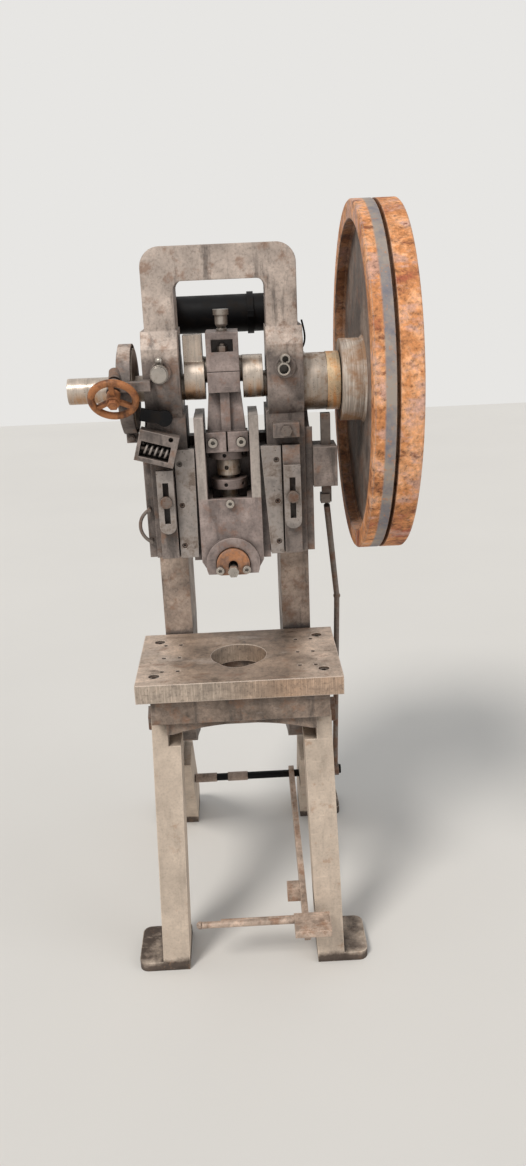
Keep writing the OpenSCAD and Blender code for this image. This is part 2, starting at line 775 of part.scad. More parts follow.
module flywheel() color("#a8582c") from_ram() translate([0, 0, crank_z]) rotate([0, 90, 0]) rotate_extrude()
  polygon([
    [wheel_bore, hub_x0], [hub_r, hub_x0], [hub_r, wheel_web_x - 4], [hub_r + 4, wheel_web_x],
    [wheel_r - rim_t - 4, wheel_web_x], [wheel_r - rim_t, wheel_web_x - 4], [wheel_r - rim_t, rim_x0],
    [wheel_r - 2, rim_x0], [wheel_r, rim_x0 + 2], [wheel_r, rim_x0 + 33], [wheel_r - 10, rim_x0 + 35],
    [wheel_r - 10, rim_x0 + 37], [wheel_r, rim_x0 + 39], [wheel_r, rim_x1 - 2], [wheel_r - 2, rim_x1],
    [wheel_r - rim_t, rim_x1], [wheel_r - rim_t - 4, wheel_web_x + 24], [hub_r - 6, wheel_web_x + 22],
    [hub_r - 8, shaft_end_x - end_gap], [wheel_bore, shaft_end_x - end_gap]
  ]);

module flywheel_bush() color("#9a7a3c") from_ram() translate([0, 0, crank_z]) difference() {
  bar_x(hub_x0, shaft_end_x - end_gap, wheel_bore);
  bar_x(hub_x0 - 1, shaft_end_x, shaft_r + run_gap);
}

// Connecting rod
rod_x = 27;
rod_y = 45;
cap_h = 63;
pin_bush_t = 5;
pin_bush_r = shaft_r + pin_bush_t;
big_end_low = 34;
clamp_z1 = pin_z - 100;
clamp_z0 = pin_z - 134;
clamp_x = 36;
thread_r = 14;
screw_top = pin_z - 62;
nut_y = rod_y - 9;

module rod_shank_front() polygon([
  [-rod_x, pin_z - big_end_low + 1], [rod_x, pin_z - big_end_low + 1], [clamp_x - 3, clamp_z1 - 1],
  [-clamp_x + 3, clamp_z1 - 1]
]);

module rod_shank_side() polygon([
  [-24, pin_z - big_end_low + 1], [24, pin_z - big_end_low + 1], [30, clamp_z1 - 1], [-30, clamp_z1 - 1]
]);

module connecting_rod() color("#5b534d") from_ram() difference() {
  union() {
    block(-rod_x, rod_x, -rod_y, rod_y, pin_z - big_end_low, pin_z - 0.5);
    intersection() {
      front_plate(-40, 40) rod_shank_front();
      side_plate(-50, 50) rod_shank_side();
    }
    // rib down the front of the shank
    block(-8, 8, -36, 0, clamp_z1 - 1, pin_z - big_end_low + 1);
    difference() {
      translate([0, 0, clamp_z0]) linear_extrude(clamp_z1 - clamp_z0) {
        circle(clamp_x - 4);
        translate([-clamp_x, -rod_y - 2]) square([2 * clamp_x, 36]);
      }
      // saw cut of the clamp
      block(-1.5, 1.5, -rod_y - 3, 0, clamp_z0 - 1, clamp_z1 + 1);
    }
  }
  translate([0, 0, pin_z]) bar_x(-rod_x - 1, rod_x + 1, pin_bush_r);
  translate([0, 0, clamp_z0 - 1]) cylinder(h = screw_top - clamp_z0 + 3, r = thread_r + 0.1);
  for (y = [-nut_y, nut_y]) translate([0, y, pin_z - big_end_low - 1]) cylinder(h = big_end_low + 1, r = 5);
  for (x = [-24, 24]) translate([x, 0, (clamp_z0 + clamp_z1) / 2]) {
    bar_y(-rod_y - 3, -rod_y + 3, 8.5);
    bar_y(-rod_y, -16, 5);
  }
}

module rod_cap() color("#6b625b") from_ram() difference() {
  block(-rod_x, rod_x, -rod_y, rod_y, pin_z + 0.5, pin_z + cap_h);
  translate([0, 0, pin_z]) bar_x(-rod_x - 1, rod_x + 1, pin_bush_r);
  for (s = [-1, 1]) {
    translate([-18, s > 0 ? rod_y - 18 : -rod_y - 1, pin_z + 32]) cube([36, 19, 20]);
    translate([0, s * nut_y, pin_z - 1]) cylinder(h = 40, r = 5);
  }
  translate([0, 0, pin_z + cap_h - 12]) cylinder(h = 13, r = 5);
}

module cap_nuts() color("#7c746b") from_ram() for (y = [-nut_y, nut_y]) translate([0, y, 0]) {
  translate([0, 0, pin_z - big_end_low + 1]) cylinder(h = big_end_low + 44, r = 5);
  translate([0, 0, pin_z + 32]) hex_head(16, 9);
}

module rod_bushes() color("#9a7a3c") from_ram() translate([0, 0, pin_z]) difference() {
  bar_x(-rod_x, rod_x, pin_bush_r);
  bar_x(-rod_x - 1, rod_x + 1, shaft_r + run_gap);
  translate([-rod_x - 1, -50, -0.5]) cube([2 * rod_x + 2, 100, 1]);
}

module grease_cup() color("#8b8176") from_ram() translate([0, 0, pin_z + cap_h]) {
  translate([0, 0, -12]) cylinder(h = 18, r = 5);
  cylinder(h = 4, r = 9);
  translate([0, 0, 4]) cylinder(h = 7, r1 = 6, r2 = 10.5);
  translate([0, 0, 11]) cylinder(h = 19, r = 10.5);
  translate([0, 0, 26]) cylinder(h = 9, r = 13);
}

module rod_clamp_screws() color("#8f887f") from_ram() for (x = [-24, 24])
  translate([x, 0, (clamp_z0 + clamp_z1) / 2]) {
    bar_y(-rod_y + 3, -17, 5);
    translate([0, -rod_y + 3, 0]) rotate([90, 0, 0]) socket_head(8, 10);
  }

// Adjusting screw, its rings and its ball end
lock_z1 = clamp_z0 - 1;
lock_t = 15;
collar_z1 = lock_z1 - lock_t - 3;
collar_t = 27;
gland_z1 = collar_z1 - collar_t - 6;
gland_t = 17;

module tommy_holes(r, z, hole, n) for (i = [0:n - 1]) translate([0, 0, z])
  rotate([0, 0, i * 360 / n - 100]) bar_x(r - 8, r + 1, hole);

module adjusting_screw() color("#7a6d5e") from_ram() difference() {
  union() {
    translate([0, 0, collar_z1 - 1]) cylinder(h = screw_top - collar_z1 + 1, r = thread_r);
    translate([0, 0, collar_z1 - collar_t]) cylinder(h = collar_t, r = 20.5);
    translate([0, 0, ball_z]) cylinder(h = collar_z1 - ball_z, r = thread_r);
    translate([0, 0, ball_z]) sphere(ball_r);
  }
  tommy_holes(20.5, collar_z1 - collar_t / 2, 4, 4);
}

module ring(r, z1, t) difference() {
  translate([0, 0, z1 - t]) cylinder(h = t, r = r);
  translate([0, 0, z1 - t - 1]) cylinder(h = t + 2, r = thread_r);
  tommy_holes(r, z1 - t / 2, 3.5, 6);
}

module lock_ring() color("#6e6054") from_ram() ring(34, lock_z1, lock_t);

module gland_ring() color("#6e5f54") from_ram() ring(32, gland_z1, gland_t);

// Slide
module slide() color("#564e48") from_ram() difference() {
  union() {
    front_plate(slide_front, slide_back) slide_front_view();
    both_sides() {
      block(ear_in, slide_x, slide_front, slide_back, slide_front_z - 1, slide_top_z);
      block(slide_x - 1, slide_x + tongue_t, tongue_front, tongue_back, head_z0 - 8, slide_top_z - 60);
    }
    block(-slide_x, slide_x, slide_back - 14, slide_back, slide_front_z - 1, slide_top_z - 50);
    // round boss round the shank clamp
    intersection() {
      translate([0, 0, shank_clamp_z]) bar_y(slide_front - 7, slide_front + 1, 47);
      block(-60, 60, slide_front - 10, slide_front + 2, slide_z0, slide_z0 + 100);
    }
  }
  // pocket for the ball, open to the top
  block(-30, 30, -throw - ball_r - 1.5, ball_r + 1.5, slide_z0 + 73, slide_front_z + 1);
  translate([0, 0, slide_z0 - 1]) cylinder(h = shank_depth + 1, r = shank_r);
  // half-moon seat of the shank clamp
  translate([0, 0, shank_clamp_z]) bar_y(slide_front - 8, slide_front + 4, 30);
  for (x = [-23, 23]) translate([x, 0, shank_clamp_z + shank_screw_z]) bar_y(slide_front, slide_front + 30, 4);
  translate([0, 0, set_z]) bar_y(slide_front, -shank_r + 2, 6);
  translate([0, 0, slide_front_z - 8]) bar_y(slide_front - 1, slide_front + 8, 4);
}

module slide_front_view() polygon([
  [-slide_x + 24, slide_z0], [slide_x - 24, slide_z0], [slide_x - 8, slide_z0 + 8], [slide_x, slide_z0 + 22],
  [slide_x, slide_front_z], [-slide_x, slide_front_z], [-slide_x, slide_z0 + 22], [-slide_x + 8, slide_z0 + 8]
]);

shank_clamp_z = slide_z0 + 18;
shank_screw_z = -8;
set_z = slide_z0 + 12;

module ball_seat() color("#8d8578") from_ram() translate([0, 0, slide_z0 + 73]) cylinder(h = 6, r = 22);

module shank_clamp() color("#a9663a") from_ram() difference() {
  intersection() {
    translate([0, 0, shank_clamp_z]) bar_y(slide_front - 14, slide_front + 4, 29);
    block(-40, 40, slide_front - 20, slide_front + 10, slide_z0, slide_z0 + 60);
  }
  for (x = [-23, 23]) translate([x, 0, shank_clamp_z + shank_screw_z]) bar_y(slide_front - 15, slide_front + 5, 4);
  // slot for the set screw, open at the bottom
  translate([0, 0, set_z + 6]) bar_y(slide_front - 15, slide_front + 5, 8);
  block(-8, 8, slide_front - 15, slide_front + 5, slide_z0 - 1, set_z + 6);
}

module small_screw(y1) {
  bar_y(slide_front - 15, y1, 4);
  translate([0, slide_front - 14, 0]) rotate([90, 0, 0]) socket_head(7, 7);
}

// The two screws of the shank clamp and the one at the top of the slide's front
module slide_screws() color("#8f887f") from_ram() {
  for (x = [-23, 23]) translate([x, 0, shank_clamp_z + shank_screw_z]) small_screw(slide_front + 24);
  translate([0, 14, slide_front_z - 8]) small_screw(slide_front - 6);
}

module shank_set_screw() color("#b3b0a8") from_ram() translate([0, 0, set_z]) {
  bar_y(slide_front - 26, -shank_r - 1, 6);
  translate([0, slide_front - 26, 0]) rotate([90, 0, 0]) hex_head(17, 12);
}

// Treadle
lever_x = 106;
lever_t = 12;
pedal_t = 14;
pedal_x0 = 82;
pedal_x1 = 152;
pedal_y0 = leg_front - 75;
pedal_y1 = leg_front - 19;

module rocker_shaft() color("#35322f") from_ram() translate([0, shaft_y, shaft_z]) {
  bar_x(-splay_out(shaft_z) - 12, splay_out(shaft_z) + 22, rocker_r);
  bar_x(-splay_in(shaft_z) + 2, -71, rocker_r + 2);
  bar_x(-45, 2, rocker_r + 2);
  bar_x(-splay_out(shaft_z) - 9, -splay_out(shaft_z) - 3, rocker_r + 6);
}

arm_x0 = splay_out(shaft_z) + 3;
arm_x1 = pull_x - 7;

// The arm carries the pin that the pull rod turns on
module rocker_arm() color("#4a453f") from_ram() {
  side_plate(arm_x0, arm_x1) difference() {
    union() {
      translate([shaft_y, shaft_z]) circle(22);
      translate([pull_y, pull_z]) circle(14);
      polygon([
        [shaft_y - 10, shaft_z - 16], [shaft_y + 8, shaft_z + 17], [pull_y + 6, pull_z + 10],
        [pull_y - 7, pull_z - 10]
      ]);
    }
    translate([shaft_y, shaft_z]) circle(rocker_r);
  }
  translate([0, pull_y, pull_z]) {
    bar_x(arm_x1 - 1, pull_x + 8, pull_pin_r);
    bar_x(pull_x + 8, pull_x + 12, pull_pin_r + 4);
  }
}

module treadle_lever() color("#8a8279") from_ram() {
  side_plate(lever_x - lever_t / 2, lever_x + lever_t / 2) difference() {
    union() {
      translate([shaft_y, shaft_z]) circle(18);
      polygon([
        [shaft_y + 5, shaft_z + 16], [shaft_y - 4, shaft_z - 16], [pedal_y1 + 30, pedal_h - pedal_t - 26],
        [pedal_y0 + 20, pedal_h - pedal_t - 22], [pedal_y0 + 20, pedal_h - pedal_t],
        [pedal_y1 + 1, pedal_h - pedal_t], [pedal_y1 + 30, pedal_h - pedal_t + 6]
      ]);
    }
    translate([shaft_y, shaft_z]) circle(rocker_r);
  }
  // stop block on the lever's inner side
  block(lever_x - 32, lever_x - lever_t / 2, pedal_y1 + 76, pedal_y1 + 104, pedal_h - 30, pedal_h);
}

module pedal() color("#8b7866") from_ram()
  block(pedal_x0, pedal_x1, pedal_y0, pedal_y1, pedal_h - pedal_t, pedal_h);

module treadle_bars() color("#8d7b6c") from_ram() {
  translate([0, pedal_y1 - 12, pedal_h - pedal_t / 2]) {
    bar_x(-101, pedal_x0, 6.5);
    translate([-101, 0, 0]) sphere(7.5);
  }
  translate([0, pedal_y1 + 14, pedal_h - pedal_t - 6]) bar_x(-62, lever_x - lever_t / 2, 4);
}

left_leg();
right_leg();
tie_rod();
pivot_bolts();
tilt_clamp_bolts();
press_frame();
bearing_bushes();
bolster_plate();
bolster_screws();
left_gib();
right_gib();
gib_screws();
left_stop_column();
right_stop_column();
left_stop_plate();
right_stop_plate();
stop_bolts();
cross_tube();
housing_bolt();
left_lubricator();
right_oil_tubes();
oil_pipe();
latch_box();
latch_post();
pull_rod();
brake_band();
brake_lining();
brake_lever();
brake_spring_bracket();
brake_spring();
band_bolt();
brake_screw_bracket();
brake_spindle();
handwheel();
crankshaft();
brake_drum();
clutch_collar();
clutch_ring();
end_nut();
flywheel();
flywheel_bush();
connecting_rod();
rod_cap();
cap_nuts();
rod_bushes();
grease_cup();
rod_clamp_screws();
adjusting_screw();
lock_ring();
gland_ring();
slide();
ball_seat();
shank_clamp();
slide_screws();
shank_set_screw();
rocker_shaft();
rocker_arm();
treadle_lever();
pedal();
treadle_bars();
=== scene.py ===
"""Looks of an old treadle stamping press: its cast, machined, oiled and rusted surfaces, the stage and the camera."""

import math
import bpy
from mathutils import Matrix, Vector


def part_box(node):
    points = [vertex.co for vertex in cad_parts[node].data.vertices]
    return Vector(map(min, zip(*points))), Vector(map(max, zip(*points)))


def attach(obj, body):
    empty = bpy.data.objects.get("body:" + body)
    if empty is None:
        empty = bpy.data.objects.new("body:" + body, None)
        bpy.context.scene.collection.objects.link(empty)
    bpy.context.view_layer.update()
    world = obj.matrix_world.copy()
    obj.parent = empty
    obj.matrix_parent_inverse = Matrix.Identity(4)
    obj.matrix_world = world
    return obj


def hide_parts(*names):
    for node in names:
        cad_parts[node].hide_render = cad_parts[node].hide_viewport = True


bl_info = {
    "name": "Stamping press looks",
    "version": (1, 0, 0),
    "blender": (4, 5, 0),
    "location": "View3D > Sidebar > Press",
    "description": "Dresses the stamping press with its worn, oiled and rusted finishes",
    "category": "Object",
}

import bpy
from bpy.props import FloatProperty, FloatVectorProperty, PointerProperty
from bpy.types import Operator, Panel, PropertyGroup
from mathutils import Matrix, Vector

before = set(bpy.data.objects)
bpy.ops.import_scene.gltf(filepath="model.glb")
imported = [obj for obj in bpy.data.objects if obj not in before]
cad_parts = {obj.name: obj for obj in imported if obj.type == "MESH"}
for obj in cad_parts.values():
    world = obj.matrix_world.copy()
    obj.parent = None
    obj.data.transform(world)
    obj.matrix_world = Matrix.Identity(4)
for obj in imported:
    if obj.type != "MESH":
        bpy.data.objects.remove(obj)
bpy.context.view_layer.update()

MM = 0.001
# the lengths below are in mm, and the ram's axis stands this far from the middle of the press's box
RAM_AXIS = Vector((-20.0, -136.0, 0.0))
CRANK_HEIGHT = 1150.0
# how ragged the border between two colours of a casting is
ZONE_BLUR = 60.0
# the rim's left edge, and the hub that stands out past its right edge, from the wheel's right side
RIM_REACH = 77.0
RIM_PROUD = 3.0
# the wheel's web and hub end at these radii, each with a border this wide
WEB_RADIUS, WEB_BLUR = 250.0, 12.0
HUB_RADIUS, HUB_BLUR = 72.0, 4.0
# where the belt's track on the rim starts and ends, beside the groove, as shares of the rim's width
TRACK = (0.25, 0.475)
# the slide's planed ears: how far beside the ram and how high above the floor they start, and their colour
PLANED_EARS = (37.0, 965.0, "#b5aaa1")
# the rocker shaft's centre, and the radius past which a sleeve covers it
ROCKER_AXIS = (214.0, 190.0)
SLEEVE_RADIUS = 9.4
# the brake spring's plate: its middle beside the ram, how it leans, and where its rod starts on it
SPRING_PLATE = Vector((-116.0, -78.0, CRANK_HEIGHT - 88.0))
SPRING_LEAN = 16.0
SPRING_START = Vector((-26.7, -4.0, -5.0))
# the photograph's camera: its place in m, its yaw, pitch and roll in radians, and its lens
CAMERA_PLACE = (0.00063, -1.79396, 1.35156)
CAMERA_TURN = (0.0186, 0.3268, -0.0430)
CAMERA_LENS = 29.51


def at(x, y, z):
    """A point measured in mm from the ram's axis and the floor, in the frame's metres."""
    return (Vector((x, y, z)) + RAM_AXIS) * MM


def linear(code):
    """A colour written as sRGB hex, as linear RGBA."""
    values = [int(code[i : i + 2], 16) / 255 for i in (1, 3, 5)]
    return (*[v / 12.92 if v <= 0.04045 else ((v + 0.055) / 1.055) ** 2.4 for v in values], 1.0)


def rgba(value):
    """Hex, a grey, or three or four linear numbers, as linear RGBA."""
    if isinstance(value, str):
        return linear(value)
    if isinstance(value, (int, float)):
        return (value, value, value, 1.0)
    return (*tuple(value)[:3], 1.0)


def shaded(value, factor):
    """value made darker or paler by factor."""
    return tuple(min(v * factor, 1.0) for v in rgba(value)[:3])


def colour(name, description, code):
    """A colour that the user may change, with its default written as sRGB hex."""
    return FloatVectorProperty(
        name=name, description=description, subtype="COLOR", size=3, min=0.0, max=1.0, default=linear(code)[:3]
    )


def length(name, description, size_mm):
    """A length that the user may change, with its default in mm."""
    return FloatProperty(
        name=name, description=description, default=size_mm * MM, min=0.0, precision=5, unit="LENGTH"
    )


class PressColours(PropertyGroup):
    """Colours of the press's finishes and of the floor."""

    frame_iron: colour("Frame iron", "Oily cast iron of the lower frame", "#857972")
    crown_iron: colour("Crown iron", "Paler cast iron of the crown", "#bdada1")
    upright_iron: colour("Upright iron", "Dusty cast iron of the uprights", "#ab998b")
    leg_iron: colour("Leg iron", "Dusty cast iron of the legs", "#c8b7a6")
    slide_iron: colour("Slide iron", "Greasy iron of the slide and the rod", "#958680")
    rust: colour("Rust", "Fresh orange rust", "#cf8a55")
    table_steel: colour("Table steel", "Planed steel of the bolster", "#c9b4a2")
    shaft_steel: colour("Shaft steel", "Steel that the bearings polish", "#d2c4b6")
    guide_steel: colour("Guide steel", "Ground guide plates", "#a89e97")
    bolt_steel: colour("Bolt steel", "Black skin of bolts, worn grey", "#82776f")
    bright_steel: colour("Bright steel", "Clean turned fittings", "#b9b0a6")
    bronze: colour("Bronze", "Cast bronze of the bushes", "#b58c4c")
    black_steel: colour("Black steel", "Drawn steel under old grease, near black partly as painted shade", "#101012")
    treadle_steel: colour("Treadle steel", "Bars of the treadle, polished by shoes", "#b8a291")
    floor: colour("Floor", "Plain pale floor", "#dcd9d4")


class PressSizes(PropertyGroup):
    """Sizes of the wear, the grain and the small pieces."""

    cast_edge: length("Cast edge", "Rounding of the edges of castings", 2.6)
    cut_edge: length("Cut edge", "Rounding of machined edges", 1.2)
    sand_grain: length("Sand grain", "Pits that the moulding sand left, drawn coarse enough to show", 2.4)
    tool_mark: length("Tool mark", "Spacing of planing and turning marks, drawn coarse enough to show", 1.8)
    shade_and_grime_depth: length("Shade and grime depth", "How far painted shade and grime reach out of corners", 24)
    side_rod: length("Side rod", "Thickness of the bent rod beside the crown", 3.2)
    spring_wire: length("Spring wire", "Thickness of the brake spring's wire", 4.0)
    floor_side: length("Floor side", "Side of the plain floor", 14000)


def add(tree, kind, settings=None, ramp=()):
    """Adds a node. Settings go to its own values or its inputs, linked where they are sockets; ramp, to its stops."""
    node = tree.nodes.new(kind)
    for key, value in (settings or {}).items():
        if not isinstance(key, int) and key not in node.inputs:
            setattr(node, key, value)
        elif isinstance(value, bpy.types.NodeSocket):
            tree.links.new(value, node.inputs[key])
        else:
            node.inputs[key].default_value = rgba(value) if node.inputs[key].type == "RGBA" else value
    for _ in ramp[2:]:
        node.color_ramp.elements.new(0.5)
    for stop, (position, value) in zip(node.color_ramp.elements if ramp else (), ramp):
        stop.position, stop.color = position, rgba(value)
    return node


def blank(name):
    """An empty material with its tree, its output node and object coordinates."""
    material = bpy.data.materials.new(name)
    material.use_nodes = True
    tree = material.node_tree
    tree.nodes.clear()
    out = add(tree, "ShaderNodeOutputMaterial")
    place = add(tree, "ShaderNodeTexCoord").outputs["Object"]
    return material, tree, out, place


def coated(tree, base, *coats):
    """base under coats, each given as (how much of it shows, its colour) and, where it isn't plain, its blend."""
    for amount, over, *blend in coats:
        kind = {"data_type": "RGBA", "blend_type": blend[0] if blend else "MIX"}
        base = add(tree, "ShaderNodeMix", {**kind, 0: amount, 6: base, 7: over}).outputs[2]
    return base


def clouds(tree, place, size_mm, detail=5.0, rough=0.6, stretch=None):
    """A cloudy pattern whose blotches are about size_mm across, drawn out where stretch is below 1."""
    if stretch:
        place = add(tree, "ShaderNodeMapping", {"Scale": stretch, 0: place}).outputs[0]
    grain = {"Vector": place, "Scale": 1.0 / (size_mm * MM), "Detail": detail, "Roughness": rough}
    return add(tree, "ShaderNodeTexNoise", grain).outputs["Fac"]


def beside_ram(tree, place):
    """(distance to the right of the ram's axis, the same without its sign)."""
    from_ram = {"operation": "SUBTRACT", 0: place, 1: tuple(RAM_AXIS * MM)}
    offset = add(tree, "ShaderNodeVectorMath", from_ram).outputs[0]
    right = add(tree, "ShaderNodeSeparateXYZ", {0: offset}).outputs["X"]
    return right, add(tree, "ShaderNodeMath", {"operation": "ABSOLUTE", 0: right}).outputs[0]


def from_axle(tree, place, y_mm, z_mm):
    """Distance from an axle that lies along X through a point given as y and z in mm."""
    across = {"operation": "MULTIPLY_ADD", 0: place, 1: (0, 1, 1), 2: (0, -y_mm * MM, -z_mm * MM)}
    spoke = add(tree, "ShaderNodeVectorMath", across).outputs[0]
    return add(tree, "ShaderNodeVectorMath", {"operation": "LENGTH", 0: spoke}).outputs["Value"]


def worn_edges(tree, radius, patch, share=0.5):
    """(rounded normal, wear from 0 to 1): edges look rounded, and a share of them is rubbed bare."""
    soft = add(tree, "ShaderNodeBevel", {"samples": 4, "Radius": radius}).outputs["Normal"]
    flat = add(tree, "ShaderNodeNewGeometry").outputs["Normal"]
    same = add(tree, "ShaderNodeVectorMath", {"operation": "DOT_PRODUCT", 0: soft, 1: flat}).outputs["Value"]
    edge = add(tree, "ShaderNodeMapRange", {0: same, 1: 0.995, 2: 0.88}).outputs[0]
    bare = add(tree, "ShaderNodeMapRange", {0: patch, 1: 0.88 - share, 2: 1.1 - share}).outputs[0]
    return soft, add(tree, "ShaderNodeMath", {"operation": "MULTIPLY", 0: edge, 1: bare}).outputs[0]


def open_to_light(tree, depth):
    """How open a point is to light, from ambient occlusion: 1 in the open, 0 in a corner, where painted shade and
    oily grime go.
    """
    shade = add(tree, "ShaderNodeAmbientOcclusion", {"samples": 4, "Distance": depth}).outputs["AO"]
    return add(tree, "ShaderNodeMapRange", {0: shade, 1: 0.3, 2: 0.85}).outputs[0]


def surface(tree, out, base, rough, normal, **settings):
    """Joins colour, roughness and normal to the shader; settings go on its own sockets."""
    names = {key.replace("_", " ").title().replace("Ior", "IOR"): value for key, value in settings.items()}
    names.update({"Base Color": base, "Roughness": rough, "Normal": normal})
    shader = add(tree, "ShaderNodeBsdfPrincipled", names)
    tree.links.new(shader.outputs[0], out.inputs["Surface"])


def tones(tree, spread, tone, contrast=1.0):
    """The shades of one cast skin, dark to pale, over a cloudy value."""
    dark, soft, pale = 1 - 0.52 * contrast, 1 - 0.2 * contrast, 1 + 0.42 * contrast
    shades = (0.36, shaded(tone, dark)), (0.46, shaded(tone, soft)), (0.53, tone), (0.64, shaded(tone, pale))
    return add(tree, "ShaderNodeValToRGB", {"Fac": spread}, shades).outputs[0]


def shade_and_grime_in_corners(tree, base, depth, shade_and_grime_colour):
    """base with painted shade and grime over most of it in the corners, as far as depth."""
    return coated(tree, coated(tree, base, (0.8, shade_and_grime_colour)), (open_to_light(tree, depth), base))


def cast_iron(
    name, sizes, iron, rust, rust_share, rough, oil=0.5, blotch_mm=60, contrast=1.0, grit=0.6, zones=(), planed=None
):
    """Grey iron cast in sand: a pitted skin with oily blotches, runs, thin rust and bare rubbed edges.

    zones are (low, high, colour, contrast) in mm above the floor, where the skin has another colour. planed is
    (distance beside the ram, height, colour), in mm, past which the faces are planed and paler."""
    material, tree, out, place = blank(name)
    cloud = clouds(tree, place, blotch_mm, 9, 0.68)
    runs = clouds(tree, place, 24, 7, 0.66, (1, 1, 0.16))
    patch = clouds(tree, place, 32, 10, 0.72)
    sand = clouds(tree, place, 4.2, 6, 0.68)
    base = tones(tree, cloud, iron, contrast)
    height = add(tree, "ShaderNodeSeparateXYZ", {0: place}).outputs["Z"] if zones or planed else None
    for low, high, tone, spread in zones:
        blurred = {"operation": "MULTIPLY_ADD", 0: cloud, 1: ZONE_BLUR * MM, 2: height}
        ragged = add(tree, "ShaderNodeMath", blurred).outputs[0]
        start, end = [[(z + ZONE_BLUR * share) * MM for share in (0.4, 0.6)] for z in (low, high)]
        rise = add(tree, "ShaderNodeMapRange", {0: ragged, 1: start[0], 2: start[1]}).outputs[0]
        fall = add(tree, "ShaderNodeMapRange", {0: ragged, 1: end[1], 2: end[0]}).outputs[0]
        inside = add(tree, "ShaderNodeMath", {"operation": "MULTIPLY", 0: rise, 1: fall}).outputs[0]
        base = coated(tree, base, (inside, tones(tree, cloud, tone, spread)))
    rusty = (0.96 - rust_share, 0.0), (1.06 - rust_share, 0.62)
    thin_rust = add(tree, "ShaderNodeValToRGB", {"Fac": patch}, rusty).outputs[0]
    base = coated(tree, base, (thin_rust, coated(tree, shaded(rust, 1.25), (sand, shaded(rust, 0.55)))))
    if planed:
        beside, above, tone = planed
        border = {0: beside_ram(tree, place)[1], 1: (beside - 0.5) * MM, 2: (beside + 0.5) * MM}
        far = add(tree, "ShaderNodeMapRange", border).outputs[0]
        high_up = add(tree, "ShaderNodeMapRange", {0: height, 1: (above - 1) * MM, 2: (above + 1) * MM}).outputs[0]
        past = add(tree, "ShaderNodeMath", {"operation": "MULTIPLY", 0: far, 1: high_up}).outputs[0]
        base = coated(tree, base, (past, tones(tree, runs, tone, 0.7)))
    oily = add(tree, "ShaderNodeValToRGB", {"Fac": runs}, ((0.53, 0.0), (0.62, oil))).outputs[0]
    grains = add(tree, "ShaderNodeValToRGB", {"Fac": sand}, ((0.36, 0.55), (0.46, 0.95), (0.6, 1.12))).outputs[0]
    strokes = clouds(tree, place, 7, 4, 0.6, (0.2, 1, 1.2))
    scuff = add(tree, "ShaderNodeValToRGB", {"Fac": strokes}, ((0.63, 0.0), (0.7, 0.6 * grit))).outputs[0]
    normal, wear = worn_edges(tree, sizes.cast_edge, runs)
    base = coated(
        tree, base, (oily, shaded(iron, 0.22)), (grit, grains, "MULTIPLY"), (scuff, shaded(iron, 1.7)),
        (wear, shaded(iron, 1.8)),
    )
    # painted shade and grime: the corners go near black
    base = shade_and_grime_in_corners(tree, base, sizes.shade_and_grime_depth, "#17110d")
    pits = clouds(tree, place, sizes.sand_grain / MM, 3, 0.7)
    waves = clouds(tree, place, 16, 3, 0.5)
    relief = add(tree, "ShaderNodeMath", {"operation": "MULTIPLY_ADD", 0: pits, 1: 0.45, 2: waves}).outputs[0]
    bump = add(tree, "ShaderNodeBump", {"Strength": 0.45, "Distance": 1.3 * MM, "Height": relief, "Normal": normal})
    dry = add(tree, "ShaderNodeMapRange", {0: cloud, 1: 0.35, 2: 0.65, 3: rough + 0.1, 4: rough - 0.08}).outputs[0]
    dull = coated(tree, dry, (oily, rough - 0.22))
    surface(tree, out, base, dull, bump.outputs[0], metallic=0.12, specular_ior_level=0.45)
    return material


